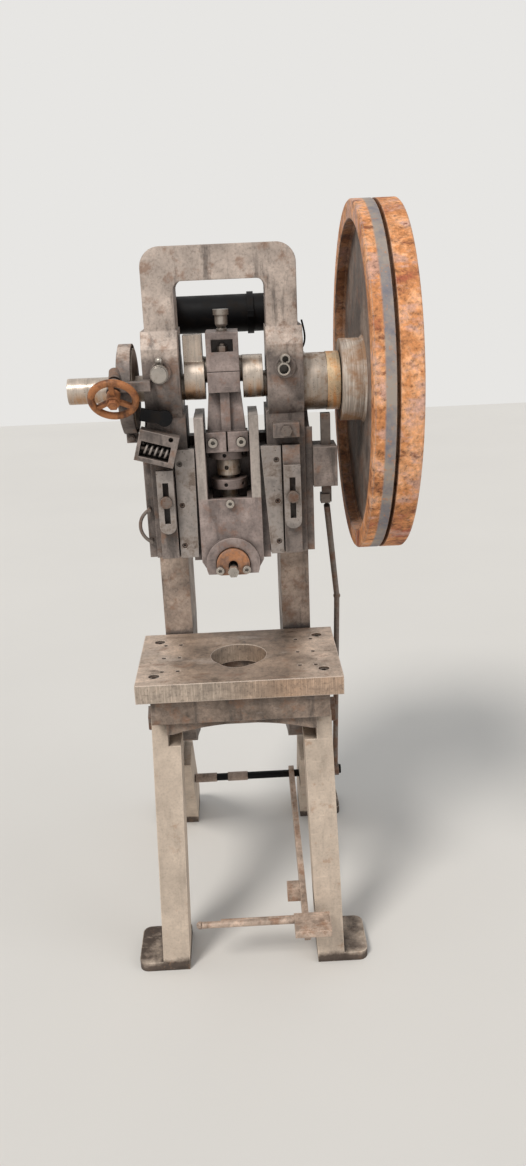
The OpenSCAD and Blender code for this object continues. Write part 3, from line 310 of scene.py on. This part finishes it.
def machined(
    name, sizes, steel, stain, marks_along, metallic, rough, stain_share=0.4, marking=0.5, contrast=1.0, under=0.0,
    shine=0.5, sleeve=None
):
    """Steel cut on a machine: tool marks in lines, cloudy oil stain and small rust specks.

    under is how much more brown lies on faces that look down, partly oil stain and partly painted shade. sleeve is
    (y, z, radius, colour) of paler sleeves on an axle along X."""
    material, tree, out, place = blank(name)
    drawn_out = {"X": (1, 0.03, 0.03), "Y": (0.03, 1, 0.03), "Z": (0.03, 0.03, 1)}[marks_along]
    marks = clouds(tree, place, sizes.tool_mark / MM, 4, 0.75, drawn_out)
    bands = clouds(tree, place, 9, 4, 0.6, tuple(max(v, 0.12) for v in drawn_out))
    cloud = clouds(tree, place, 38, 9, 0.7)
    fleck = clouds(tree, place, 4, 6, 0.66)
    cut = (0.38, 1 - 0.5 * marking), (0.5, 1 - 0.1 * marking), (0.62, 1.0)
    lines = add(tree, "ShaderNodeValToRGB", {"Fac": marks}, cut).outputs[0]
    wide = add(tree, "ShaderNodeValToRGB", {"Fac": bands}, ((0.4, 1 - 0.45 * marking), (0.55, 1.0))).outputs[0]
    base = coated(tree, tones(tree, cloud, steel, 0.6 * contrast), (1.0, lines, "MULTIPLY"), (1.0, wide, "MULTIPLY"))
    if sleeve:
        y, z, radius, tone = sleeve
        outside = {0: from_axle(tree, place, y, z), 1: (radius - 0.2) * MM, 2: (radius + 0.2) * MM}
        thick = add(tree, "ShaderNodeMapRange", outside).outputs[0]
        base = coated(tree, base, (thick, tones(tree, cloud, tone)))
    cloudy = (0.94 - stain_share, 0.0), (1.06 - stain_share, 0.85)
    stained = add(tree, "ShaderNodeValToRGB", {"Fac": cloud}, cloudy).outputs[0]
    # faces that look down get more brown: partly oil that hangs there, partly painted shade standing for the dark
    # reflection under a polished round
    if under:
        facing = add(tree, "ShaderNodeNewGeometry").outputs["Normal"]
        down = add(tree, "ShaderNodeSeparateXYZ", {0: facing}).outputs["Z"]
        below = add(tree, "ShaderNodeMapRange", {0: down, 1: 0.1, 2: -0.5, 3: 0.0, 4: under}).outputs[0]
        streaks = add(tree, "ShaderNodeMapRange", {0: bands, 1: 0.38, 2: 0.55}).outputs[0]
        stain_and_shade_below = add(tree, "ShaderNodeMath", {"operation": "MULTIPLY", 0: below, 1: streaks}).outputs[0]
        stained = coated(tree, stained, (stain_and_shade_below, 1.0))
    specks = add(tree, "ShaderNodeValToRGB", {"Fac": fleck}, ((0.33, 0.7), (0.4, 0.0))).outputs[0]
    normal, wear = worn_edges(tree, sizes.cut_edge, cloud)
    base = coated(
        tree, base, (stained, coated(tree, shaded(stain, 0.7), (bands, shaded(stain, 1.2)))),
        (specks, shaded(stain, 0.3)), (wear, shaded(steel, 1.7)),
    )
    # painted shade and grime: the corners go near black
    base = shade_and_grime_in_corners(tree, base, sizes.shade_and_grime_depth * 0.7, "#150e0a")
    relief = {"Strength": 0.1 + 0.25 * marking, "Distance": 0.3 * MM, "Height": marks, "Normal": normal}
    bump = add(tree, "ShaderNodeBump", relief)
    dull = add(tree, "ShaderNodeMapRange", {0: cloud, 1: 0.35, 2: 0.65, 3: rough - 0.08, 4: rough + 0.2}).outputs[0]
    surface(tree, out, base, dull, bump.outputs[0], metallic=metallic, specular_ior_level=shine)
    return material


def planed_plate(name, sizes, steel):
    """Planed plate under a brown patina: a rubbed left edge, oil round the hole, upright marks on its sides, and a
    pale line on its edges that is partly wear and partly painted highlight.
    """
    material, tree, out, place = blank(name)
    cloud = clouds(tree, place, 48, 10, 0.72)
    smear = clouds(tree, place, 26, 8, 0.7, (0.5, 1, 1))
    fleck = clouds(tree, place, 5, 6, 0.68)
    right, sideways = beside_ram(tree, place)
    # oil and work darken the middle, up to a ragged border about 110 mm from the ram
    ragged = add(tree, "ShaderNodeMath", {"operation": "MULTIPLY_ADD", 0: smear, 1: 70 * MM, 2: sideways}).outputs[0]
    middle = add(tree, "ShaderNodeMapRange", {0: ragged, 1: 170 * MM, 2: 125 * MM, 3: 0.0, 4: 0.8}).outputs[0]
    rusty = add(tree, "ShaderNodeValToRGB", {"Fac": smear}, ((0.55, 0.0), (0.64, 0.6))).outputs[0]
    soaked = add(tree, "ShaderNodeValToRGB", {"Fac": smear}, ((0.34, 0.65), (0.42, 0.0))).outputs[0]
    rubs = clouds(tree, place, 60, 7, 0.66, (0.4, 1, 1))
    bare = add(tree, "ShaderNodeValToRGB", {"Fac": rubs}, ((0.56, 0.0), (0.64, 0.5))).outputs[0]
    base = coated(
        tree, tones(tree, cloud, steel, 0.85), (middle, tones(tree, cloud, "#8b7664", 1.0)),
        (rusty, coated(tree, "#9c6c4a", (fleck, "#5c4434"))), (soaked, "#54463b"), (bare, "#c2b4a8"),
    )
    # the sides are paler than the top, and browner to the right
    facing = add(tree, "ShaderNodeNewGeometry").outputs["Normal"]
    up = add(tree, "ShaderNodeSeparateXYZ", {0: facing}).outputs["Z"]
    side = add(tree, "ShaderNodeMapRange", {0: up, 1: 0.7, 2: 0.3}).outputs[0]
    mostly = add(tree, "ShaderNodeMath", {"operation": "MULTIPLY", 0: side, 1: 0.8}).outputs[0]
    browner = add(tree, "ShaderNodeMapRange", {0: right, 1: -40 * MM, 2: 80 * MM}).outputs[0]
    ends = coated(tree, tones(tree, smear, "#ab9c8d", 0.6), (browner, tones(tree, smear, "#a68a73", 0.7)))
    base = coated(tree, base, (mostly, ends))
    marks = clouds(tree, place, sizes.tool_mark / MM * 1.5, 4, 0.8, (1, 1, 0.04))
    upright = add(tree, "ShaderNodeValToRGB", {"Fac": marks}, ((0.4, 0.86), (0.52, 1.0), (0.62, 1.35))).outputs[0]
    specks = add(tree, "ShaderNodeValToRGB", {"Fac": fleck}, ((0.34, 0.5), (0.46, 0.96), (0.6, 1.0))).outputs[0]
    # the pale edge line is partly rubbed wear and partly a painted highlight, made wide enough to show
    normal, wear = worn_edges(tree, sizes.cut_edge * 2.4, smear, 0.7)
    marked = coated(tree, base, (1.0, upright, "MULTIPLY"))
    base = coated(tree, base, (side, marked), (0.8, specks, "MULTIPLY"), (wear, "#ead8c8"))
    # painted shade and grime: the corners go near black
    base = shade_and_grime_in_corners(tree, base, sizes.shade_and_grime_depth * 0.5, "#1b130e")
    bump = add(tree, "ShaderNodeBump", {"Strength": 0.3, "Distance": 0.4 * MM, "Height": fleck, "Normal": normal})
    dull = add(tree, "ShaderNodeMapRange", {0: smear, 1: 0.35, 2: 0.65, 3: 0.62, 4: 0.42}).outputs[0]
    surface(tree, out, base, dull, bump.outputs[0], metallic=0.2)
    return material


def rusted_wheel(name, sizes, colours):
    """Cast rim turned on the outside: orange rust in flakes, with a grey track that the belt rubbed clean."""
    material, tree, out, place = blank(name)
    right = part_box("flywheel")[1].x
    flake = clouds(tree, place, 8, 10, 0.74)
    cloud = clouds(tree, place, 75, 9, 0.68)
    spread = clouds(tree, place, 34, 8, 0.7, (0.6, 1, 1))
    rust = colours.rust
    oranges = (0.36, "#a8593a"), (0.44, shaded(rust, 0.85)), (0.5, rust), (0.56, "#e6a878"), (0.64, "#cda28e")
    orange = add(tree, "ShaderNodeValToRGB", {"Fac": cloud}, oranges).outputs[0]
    pink = add(tree, "ShaderNodeValToRGB", {"Fac": spread}, ((0.53, 0.0), (0.61, 0.8))).outputs[0]
    brown = add(tree, "ShaderNodeValToRGB", {"Fac": spread}, ((0.37, 0.85), (0.44, 0.0))).outputs[0]
    shades = (0.36, 0.38), (0.45, 0.86), (0.54, 1.08), (0.66, 1.45)
    grain = add(tree, "ShaderNodeValToRGB", {"Fac": flake}, shades).outputs[0]
    base = coated(tree, orange, (pink, "#c79c8a"), (brown, "#7a432a"), (1.0, grain, "MULTIPLY"))
    # the belt's track: grey between its two ragged edges, on the faces that look away from the axle
    along = add(tree, "ShaderNodeSeparateXYZ", {0: place}).outputs["X"]
    wobble = add(tree, "ShaderNodeMath", {"operation": "MULTIPLY_ADD", 0: flake, 1: 6 * MM, 2: along}).outputs[0]
    rim = {0: wobble, 1: right - RIM_REACH * MM, 2: right - RIM_PROUD * MM}
    share = add(tree, "ShaderNodeMapRange", rim).outputs[0]
    left, groove = TRACK
    edges = (0.04, 0.6), (0.1, 0.0), (left, 0.0), (left + 0.04, 1.0), (groove, 1.0), (groove + 0.03, 0.0)
    track = add(tree, "ShaderNodeValToRGB", {"Fac": share}, edges).outputs[0]
    warm = add(tree, "ShaderNodeValToRGB", {"Fac": cloud}, ((0.42, 0.0), (0.58, 1.0))).outputs[0]
    rusting = add(tree, "ShaderNodeValToRGB", {"Fac": flake}, ((0.56, 0.0), (0.64, 0.7))).outputs[0]
    rubbed = coated(tree, "#77747b", (warm, "#a3978c"), (rusting, shaded(rust, 0.9)))
    facing = add(tree, "ShaderNodeNewGeometry").outputs["Normal"]
    sideways = add(tree, "ShaderNodeSeparateXYZ", {0: facing}).outputs["X"]
    steep = add(tree, "ShaderNodeMath", {"operation": "ABSOLUTE", 0: sideways}).outputs[0]
    outer = add(tree, "ShaderNodeMapRange", {0: steep, 1: 0.5, 2: 0.2}).outputs[0]
    belted = add(tree, "ShaderNodeMath", {"operation": "MULTIPLY", 0: track, 1: outer}).outputs[0]
    base = coated(tree, base, (belted, rubbed))
    # the web keeps dark grease under thinner rust, and the hub is turned bright and stained by oil
    radius = from_axle(tree, place, RAM_AXIS.y, CRANK_HEIGHT)
    greys = (0.38, "#564a42"), (0.5, "#7f7066"), (0.62, "#a08f82")
    greasy = add(tree, "ShaderNodeValToRGB", {"Fac": cloud}, greys).outputs[0]
    thin = add(tree, "ShaderNodeValToRGB", {"Fac": spread}, ((0.52, 0.0), (0.62, 0.55))).outputs[0]
    speckled = add(tree, "ShaderNodeValToRGB", {"Fac": flake}, ((0.36, 0.72), (0.5, 1.0), (0.64, 1.16))).outputs[0]
    greasy = coated(tree, greasy, (thin, "#8a5f45"), (1.0, speckled, "MULTIPLY"))
    web_border = {0: radius, 1: (WEB_RADIUS + WEB_BLUR) * MM, 2: WEB_RADIUS * MM}
    web = add(tree, "ShaderNodeMapRange", web_border).outputs[0]
    turned = clouds(tree, place, sizes.tool_mark / MM, 4, 0.75, (1, 0.03, 0.03))
    brights = (0.36, "#a2948a"), (0.5, "#c9bcae"), (0.62, "#e6dbcf")
    bright = add(tree, "ShaderNodeValToRGB", {"Fac": turned}, brights).outputs[0]
    oiled = add(tree, "ShaderNodeValToRGB", {"Fac": cloud}, ((0.46, 0.0), (0.6, 0.8))).outputs[0]
    bright = coated(tree, bright, (oiled, coated(tree, "#7c5a40", (flake, "#c08a55"))))
    hub_border = {0: radius, 1: (HUB_RADIUS + HUB_BLUR) * MM, 2: HUB_RADIUS * MM}
    hub = add(tree, "ShaderNodeMapRange", hub_border).outputs[0]
    normal, wear = worn_edges(tree, sizes.cast_edge, flake)
    base = coated(tree, base, (web, greasy), (hub, bright), (wear, "#c9b09c"))
    # painted shade and grime: the corners go near black
    base = shade_and_grime_in_corners(tree, base, sizes.shade_and_grime_depth, "#180d07")
    bump = add(tree, "ShaderNodeBump", {"Strength": 0.4, "Distance": 0.7 * MM, "Height": flake, "Normal": normal})
    dull = add(tree, "ShaderNodeMapRange", {0: cloud, 1: 0.35, 2: 0.65, 3: 0.6, 4: 0.82}).outputs[0]
    surface(tree, out, base, dull, bump.outputs[0], metallic=0.1)
    return material


def recipe(key, colours, sizes):
    """The finish of one kind of surface, named for the real material and how it was made."""
    if key == "frame":
        # grey-brown sand-cast skin soaked in oil, with a pale handled crown and dusty uprights
        zones = (
            (1205, 1600, colours.crown_iron, 0.62), (655, 860, colours.upright_iron, 0.85), (500, 620, "#857467", 1.2)
        )
        return cast_iron(
            "sand_cast_iron_oiled", sizes, colours.frame_iron, "#8f6a52",
            rust_share=0.44, rough=0.58, oil=0.6, contrast=0.9, zones=zones,
        )
    if key == "leg":
        # dusty, sun-dried iron: matt and pale, with the feet darker up to 22 mm above the floor
        zones = ((-200, 22, "#5d5047", 0.8),)
        return cast_iron(
            "sand_cast_iron_dusty", sizes, colours.leg_iron, "#b08a6e",
            rust_share=0.38, rough=0.74, oil=0.15, blotch_mm=90, contrast=0.36, grit=0.3, zones=zones,
        )
    if key == "slide":
        # dark greasy iron of the moving castings, with a low shine
        return cast_iron(
            "sand_cast_iron_greasy", sizes, colours.slide_iron, "#94705e",
            rust_share=0.44, rough=0.5, oil=0.45, blotch_mm=50, contrast=0.9, grit=0.45, planed=PLANED_EARS,
        )
    if key == "rust":
        # small castings gone brown all over, rubbed bright on the rim
        return cast_iron(
            "small_casting_rusted", sizes, "#8f5a3c", colours.rust, rust_share=0.56, rough=0.62, oil=0.6, blotch_mm=20
        )
    if key == "clamp":
        # flat plate, brown with old rust and rubbed by tools
        return cast_iron(
            "clamp_plate_rusted", sizes, "#9a7560", colours.rust,
            rust_share=0.48, rough=0.6, blotch_mm=22, contrast=0.9,
        )
    if key == "treadle":
        # rolled bar rubbed smooth and brown by shoes
        return cast_iron(
            "rolled_bar_worn", sizes, colours.treadle_steel, "#97694a",
            rust_share=0.46, rough=0.5, oil=0.4, blotch_mm=35, contrast=0.8,
        )
    if key == "table":
        # planed top and sides under a brown patina, rubbed pale at the edges, the pale edge line partly a painted
        # highlight
        return planed_plate("planed_steel_patina", sizes, colours.table_steel)
    if key == "crank":
        # forged crank, its discs and shaft turned bright and stained brown by oil, with painted shade in brown on the
        # undersides
        return machined(
            "forged_crank_steel_turned", sizes, colours.shaft_steel, "#b07e4e", "X",
            metallic=0.8, rough=0.26, stain_share=0.34, marking=0.36, contrast=0.7, under=0.7,
        )
    if key == "shaft":
        # turned steel, grey and dull with old oil, with painted shade in brown on the undersides
        return machined(
            "turned_steel_oiled", sizes, colours.shaft_steel, "#8a6a4c", "X",
            metallic=0.65, rough=0.32, stain_share=0.46, marking=0.45, under=0.4,
        )
    if key == "ring":
        # friction ring polished yellow-brown by its latch, with painted shade in brown on the undersides
        return machined(
            "friction_ring_polished", sizes, "#f0d4ae", "#d08a48", "X",
            metallic=0.65, rough=0.3, stain_share=0.42, marking=0.35, contrast=0.9, under=0.8,
        )
    if key == "guide":
        # ground plates, grey and dark with oil
        return machined(
            "ground_steel_oiled", sizes, colours.guide_steel, "#6b5b4e", "Y",
            metallic=0.3, rough=0.44, stain_share=0.45, marking=0.2, contrast=1.3,
        )
    if key == "bolt":
        # forged heads whose black skin is worn to grey
        return machined(
            "forged_bolt_steel", sizes, colours.bolt_steel, "#6b4a36", "Z",
            metallic=0.4, rough=0.46, stain_share=0.46, marking=0.25,
        )
    if key == "bright":
        # clean turned fittings with a soft shine
        return machined(
            "turned_steel_bright", sizes, colours.bright_steel, "#8d8175", "Y",
            metallic=0.6, rough=0.32, stain_share=0.42, marking=0.25, contrast=0.7,
        )
    if key == "bronze":
        # turned bearing bronze, yellow-brown under oil
        return machined(
            "bearing_bronze_turned", sizes, colours.bronze, "#6b4d2a", "X", metallic=0.9, rough=0.36, stain_share=0.44
        )
    if key == "black":
        # drawn steel, near black under old grease; on the cross tube the near black is partly painted shade
        return machined(
            "drawn_steel_greasy", sizes, colours.black_steel, "#1d1713", "X",
            metallic=0.0, rough=0.5, stain_share=0.44, marking=0.15, contrast=0.8, shine=0.16,
        )
    if key == "rocker":
        # the same drawn steel, with dusty pale sleeves
        sleeves = (*ROCKER_AXIS, SLEEVE_RADIUS, "#a8968a")
        return machined(
            "drawn_steel_sleeved", sizes, colours.black_steel, "#1d1713", "X",
            metallic=0.0, rough=0.5, stain_share=0.36, marking=0.15, contrast=0.8, shine=0.16, sleeve=sleeves,
        )
    if key == "lining":
        # woven friction lining, dull brown and dusty
        return machined(
            "friction_lining_woven", sizes, "#4a3829", "#2a1f18", "Z", metallic=0.0, rough=0.86, stain_share=0.44
        )
    if key == "wheel":
        # cast wheel, orange with rust on its rim and dark with grease on its web
        return rusted_wheel("flywheel_iron_rusted", sizes, colours)
    raise RuntimeError(f"no finish named {key}")


# the materials made so far, by key
FINISHES = {}


def finish(key):
    """The material of that finish, made the first time it is asked for."""
    if key not in FINISHES:
        scene = bpy.context.scene
        FINISHES[key] = recipe(key, scene.press_colours, scene.press_sizes)
    return FINISHES[key]


def dress(key, *nodes):
    """Lays a finish on CAD nodes."""
    for node in nodes:
        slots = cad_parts[node].data.materials
        slots.clear()
        slots.append(finish(key))


def swept(name, points, thickness, body, key, closed_ends=True):
    """A round wire or rod along points, riding on a body."""
    curve = bpy.data.curves.new(name, "CURVE")
    curve.dimensions = "3D"
    curve.bevel_depth = thickness / 2
    curve.bevel_resolution = 3
    curve.resolution_u = 6
    curve.use_fill_caps = closed_ends
    line = curve.splines.new("NURBS")
    line.points.add(len(points) - 1)
    for knot, point in zip(line.points, points):
        knot.co = (*point, 1.0)
    line.order_u = 3
    line.use_endpoint_u = True
    curve.materials.append(finish(key))
    piece = bpy.data.objects.new(name, curve)
    bpy.context.scene.collection.objects.link(piece)
    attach(piece, body)
    return piece


class PRESS_OT_legs(Operator):
    """The two cast legs with their feet"""

    bl_idname = "press.legs"
    bl_label = "Legs"

    def execute(self, context):
        dress("leg", "left_leg", "right_leg")
        return {"FINISHED"}


class PRESS_OT_castings(Operator):
    """The frame with its crown, and the stop columns bolted to it"""

    bl_idname = "press.castings"
    bl_label = "Frame and stop columns"

    def execute(self, context):
        dress("frame", "press_frame", "left_stop_column", "right_stop_column")
        dress("guide", "left_gib", "right_gib", "left_stop_plate", "right_stop_plate")
        # the cross tube's near-black finish is partly painted shade, standing for the shadow behind the crown
        dress("black", "cross_tube")
        low = (127, -6, 1208), (131, -10, 1206), (136, -13, 1210)
        high = (139, -14, 1222), (138, -13, 1236), (134, -10, 1253)
        swept("side_rod", [at(*p) for p in low + high], context.scene.press_sizes.side_rod, "frame", "black")
        return {"FINISHED"}


class PRESS_OT_table(Operator):
    """The bolster plate on the bed"""

    bl_idname = "press.table"
    bl_label = "Bolster plate"

    def execute(self, context):
        dress("table", "bolster_plate")
        return {"FINISHED"}


class PRESS_OT_crank(Operator):
    """The crankshaft, what turns with it, and the bearings' bushes"""

    bl_idname = "press.crank"
    bl_label = "Crankshaft"

    def execute(self, context):
        dress("crank", "crankshaft")
        dress("shaft", "brake_drum", "clutch_collar")
        dress("ring", "clutch_ring")
        dress("bronze", "bearing_bushes", "flywheel_bush", "rod_bushes")
        return {"FINISHED"}


class PRESS_OT_wheel(Operator):
    """The rusted flywheel"""

    bl_idname = "press.wheel"
    bl_label = "Flywheel"

    def execute(self, context):
        dress("wheel", "flywheel")
        return {"FINISHED"}


class PRESS_OT_ram(Operator):
    """The connecting rod, its screw and rings, and the slide"""

    bl_idname = "press.ram"
    bl_label = "Rod and slide"

    def execute(self, context):
        dress("slide", "connecting_rod", "rod_cap", "slide", "lock_ring", "gland_ring")
        dress("shaft", "adjusting_screw", "ball_seat")
        dress("clamp", "shank_clamp")
        return {"FINISHED"}


class PRESS_OT_brake(Operator):
    """The band brake with its handwheel, lever and coiled spring"""

    bl_idname = "press.brake"
    bl_label = "Brake"

    def execute(self, context):
        dress("frame", "brake_band", "brake_spring_bracket", "brake_screw_bracket")
        dress("lining", "brake_lining")
        dress("black", "brake_lever")
        dress("rust", "handwheel", "brake_spindle")
        dress("bright", "brake_spring")
        self.spring(context.scene.press_sizes.spring_wire)
        return {"FINISHED"}

    def spring(self, wire):
        """The coil as wound wire on its rod, in place of the rings that stand for it"""
        lean = Matrix.Rotation(math.radians(SPRING_LEAN), 4, "Y")
        # in mm, apart from how many turns there are and how many points each has
        first, pitch, radius, rod_width = 3.0, 8.6, 8.0, 8.0
        turns, per_turn = 5, 14

        def place(along, angle, out):
            spot = SPRING_START + Vector((along, out * math.sin(angle), out * math.cos(angle)))
            return at(*(SPRING_PLATE + lean @ spot))

        count = turns * per_turn
        coil = [place(first + pitch * i / per_turn, math.tau * i / per_turn, radius) for i in range(count + 1)]
        coil_piece = swept("brake_spring_coil", coil, wire, "frame", "guide")
        rod = [place(x, 0, 0) for x in (0.0, 16.0, 33.0, 49.0)]
        rod_piece = swept("brake_spring_rod", rod, rod_width * MM, "frame", "bolt")
        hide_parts("brake_spring")
        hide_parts("brake_spring")


class PRESS_OT_latch(Operator):
    """The latch box, its post, the pull rod and the rocker shaft"""

    bl_idname = "press.latch"
    bl_label = "Latch and rocker"

    def execute(self, context):
        dress("frame", "latch_box")
        dress("bolt", "latch_post", "pull_rod")
        dress("rocker", "rocker_shaft")
        dress("black", "rocker_arm")
        return {"FINISHED"}


class PRESS_OT_treadle(Operator):
    """The treadle's lever, pedal and bars"""

    bl_idname = "press.treadle"
    bl_label = "Treadle"

    def execute(self, context):
        dress("treadle", "treadle_lever", "pedal", "treadle_bars")
        return {"FINISHED"}


class PRESS_OT_oilers(Operator):
    """The oil fittings and the grease cup"""

    bl_idname = "press.oilers"
    bl_label = "Oil fittings"

    def execute(self, context):
        dress("bright", "left_lubricator", "right_oil_tubes", "grease_cup")
        dress("bolt", "oil_pipe")
        return {"FINISHED"}


class PRESS_OT_fasteners(Operator):
    """Bolts, screws and nuts"""

    bl_idname = "press.fasteners"
    bl_label = "Fasteners"

    def execute(self, context):
        dress("bolt", "tie_rod", "pivot_bolts", "tilt_clamp_bolts", "bolster_screws", "gib_screws", "stop_bolts")
        dress("bolt", "housing_bolt", "band_bolt", "cap_nuts", "end_nut")
        dress("bright", "shank_set_screw", "rod_clamp_screws", "slide_screws")
        return {"FINISHED"}


def lamp(name, place, strength, spread, tint):
    """A distant lamp that shines from place to the origin, with soft shadows: spread is its width in degrees."""
    data = bpy.data.lights.new(name, "SUN")
    data.energy = strength
    data.angle = math.radians(spread)
    data.color = tint
    holder = bpy.data.objects.new(name, data)
    bpy.context.scene.collection.objects.link(holder)
    holder.location = place
    holder.rotation_euler = (-Vector(place)).to_track_quat("-Z", "Y").to_euler()


class PRESS_OT_stage(Operator):
    """Lays the floor, hangs the lamps and sets the camera"""

    bl_idname = "press.stage"
    bl_label = "Stage"

    def execute(self, context):
        scene = context.scene
        self.floor(scene.press_colours.floor, scene.press_sizes.floor_side)
        self.sky(scene)
        lamp("key_lamp", (-1.1, -1.7, 2.3), strength=1.9, spread=16, tint=(1.0, 0.97, 0.93))
        lamp("fill_lamp", (2.2, -1.2, 1.2), strength=0.5, spread=40, tint=(0.94, 0.97, 1.0))
        self.camera(scene)
        scene.view_settings.view_transform = "Standard"
        return {"FINISHED"}

    def floor(self, tint, side):
        half = side / 2
        mesh = bpy.data.meshes.new("floor")
        mesh.from_pydata([(-half, -half, 0), (half, -half, 0), (half, half, 0), (-half, half, 0)], [], [(0, 1, 2, 3)])
        floor = bpy.data.objects.new("floor", mesh)
        bpy.context.scene.collection.objects.link(floor)
        # matt floor paint: plain and pale, with a faint unevenness
        material, tree, out, place = blank("matt_floor_paint")
        base = coated(tree, shaded(tint, 0.96), (clouds(tree, place, 900, 3, 0.5), shaded(tint, 1.04)))
        paint = {"Roughness": 0.9, "Specular IOR Level": 0.2, "Base Color": base}
        shader = add(tree, "ShaderNodeBsdfPrincipled", paint)
        tree.links.new(shader.outputs[0], out.inputs["Surface"])
        mesh.materials.append(material)

    def sky(self, scene):
        """Soft light all round; the camera, gloss and glass see it plain white"""
        world = bpy.data.worlds.new("studio")
        scene.world = world
        world.use_nodes = True
        tree = world.node_tree
        tree.nodes.clear()
        out = add(tree, "ShaderNodeOutputWorld")
        path = add(tree, "ShaderNodeLightPath")
        soft = add(tree, "ShaderNodeBackground", {"Color": (0.96, 0.98, 1.0, 1.0), "Strength": 0.5})
        white = add(tree, "ShaderNodeBackground", {"Color": (0.8, 0.79, 0.77, 1.0), "Strength": 1.0})
        seen = path.outputs["Is Camera Ray"]
        for ray in ("Is Glossy Ray", "Is Transmission Ray"):
            either = add(tree, "ShaderNodeMath", {"operation": "MAXIMUM", 0: seen, 1: path.outputs[ray]})
            seen = either.outputs[0]
        mix = add(tree, "ShaderNodeMixShader", {0: seen, 1: soft.outputs[0], 2: white.outputs[0]})
        tree.links.new(mix.outputs[0], out.inputs["Surface"])

    def camera(self, scene):
        """The photograph's place, aim and slight roll"""
        data = bpy.data.cameras.new("photo_camera")
        data.sensor_width = 36.0
        data.sensor_fit = "AUTO"
        data.lens = CAMERA_LENS
        data.clip_end = 60.0
        camera = bpy.data.objects.new("photo_camera", data)
        scene.collection.objects.link(camera)
        yaw, pitch, roll = CAMERA_TURN
        ahead = Vector((math.sin(yaw) * math.cos(pitch), math.cos(yaw) * math.cos(pitch), -math.sin(pitch)))
        right = Vector((math.cos(yaw), -math.sin(yaw), 0))
        up = right.cross(ahead)
        tilted_right = math.cos(roll) * right + math.sin(roll) * up
        tilted_up = -math.sin(roll) * right + math.cos(roll) * up
        turn = Matrix((tilted_right, tilted_up, -ahead)).transposed()
        camera.matrix_world = Matrix.Translation(CAMERA_PLACE) @ turn.to_4x4()
        scene.camera = camera


STEPS = (
    PRESS_OT_legs, PRESS_OT_castings, PRESS_OT_table, PRESS_OT_crank, PRESS_OT_wheel, PRESS_OT_ram, PRESS_OT_brake,
    PRESS_OT_latch, PRESS_OT_treadle, PRESS_OT_oilers, PRESS_OT_fasteners, PRESS_OT_stage,
)


class PRESS_PT_looks(Panel):
    """The press's pieces, colours and sizes"""

    bl_idname = "PRESS_PT_looks"
    bl_label = "Stamping press"
    bl_space_type = "VIEW_3D"
    bl_region_type = "UI"
    bl_category = "Press"

    def draw(self, context):
        for step in STEPS:
            self.layout.operator(step.bl_idname)
        for group, kind in ((context.scene.press_colours, PressColours), (context.scene.press_sizes, PressSizes)):
            for name in kind.__annotations__:
                self.layout.prop(group, name)


CLASSES = (PressColours, PressSizes, *STEPS, PRESS_PT_looks)


def register():
    for cls in CLASSES:
        bpy.utils.register_class(cls)
    bpy.types.Scene.press_colours = PointerProperty(type=PressColours)
    bpy.types.Scene.press_sizes = PointerProperty(type=PressSizes)


def unregister():
    del bpy.types.Scene.press_sizes
    del bpy.types.Scene.press_colours
    for cls in reversed(CLASSES):
        bpy.utils.unregister_class(cls)


def main():
    register()
    for step in STEPS:
        name = step.bl_idname.split(".")[1]
        getattr(bpy.ops.press, name)()
    bare = [
        name for name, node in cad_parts.items() if not node.data.materials or node.data.materials[0] is None
    ]
    if bare:
        raise RuntimeError(f"no finish for {sorted(bare)}")
    bpy.context.view_layer.update()


if __name__ == "__main__":
    main()
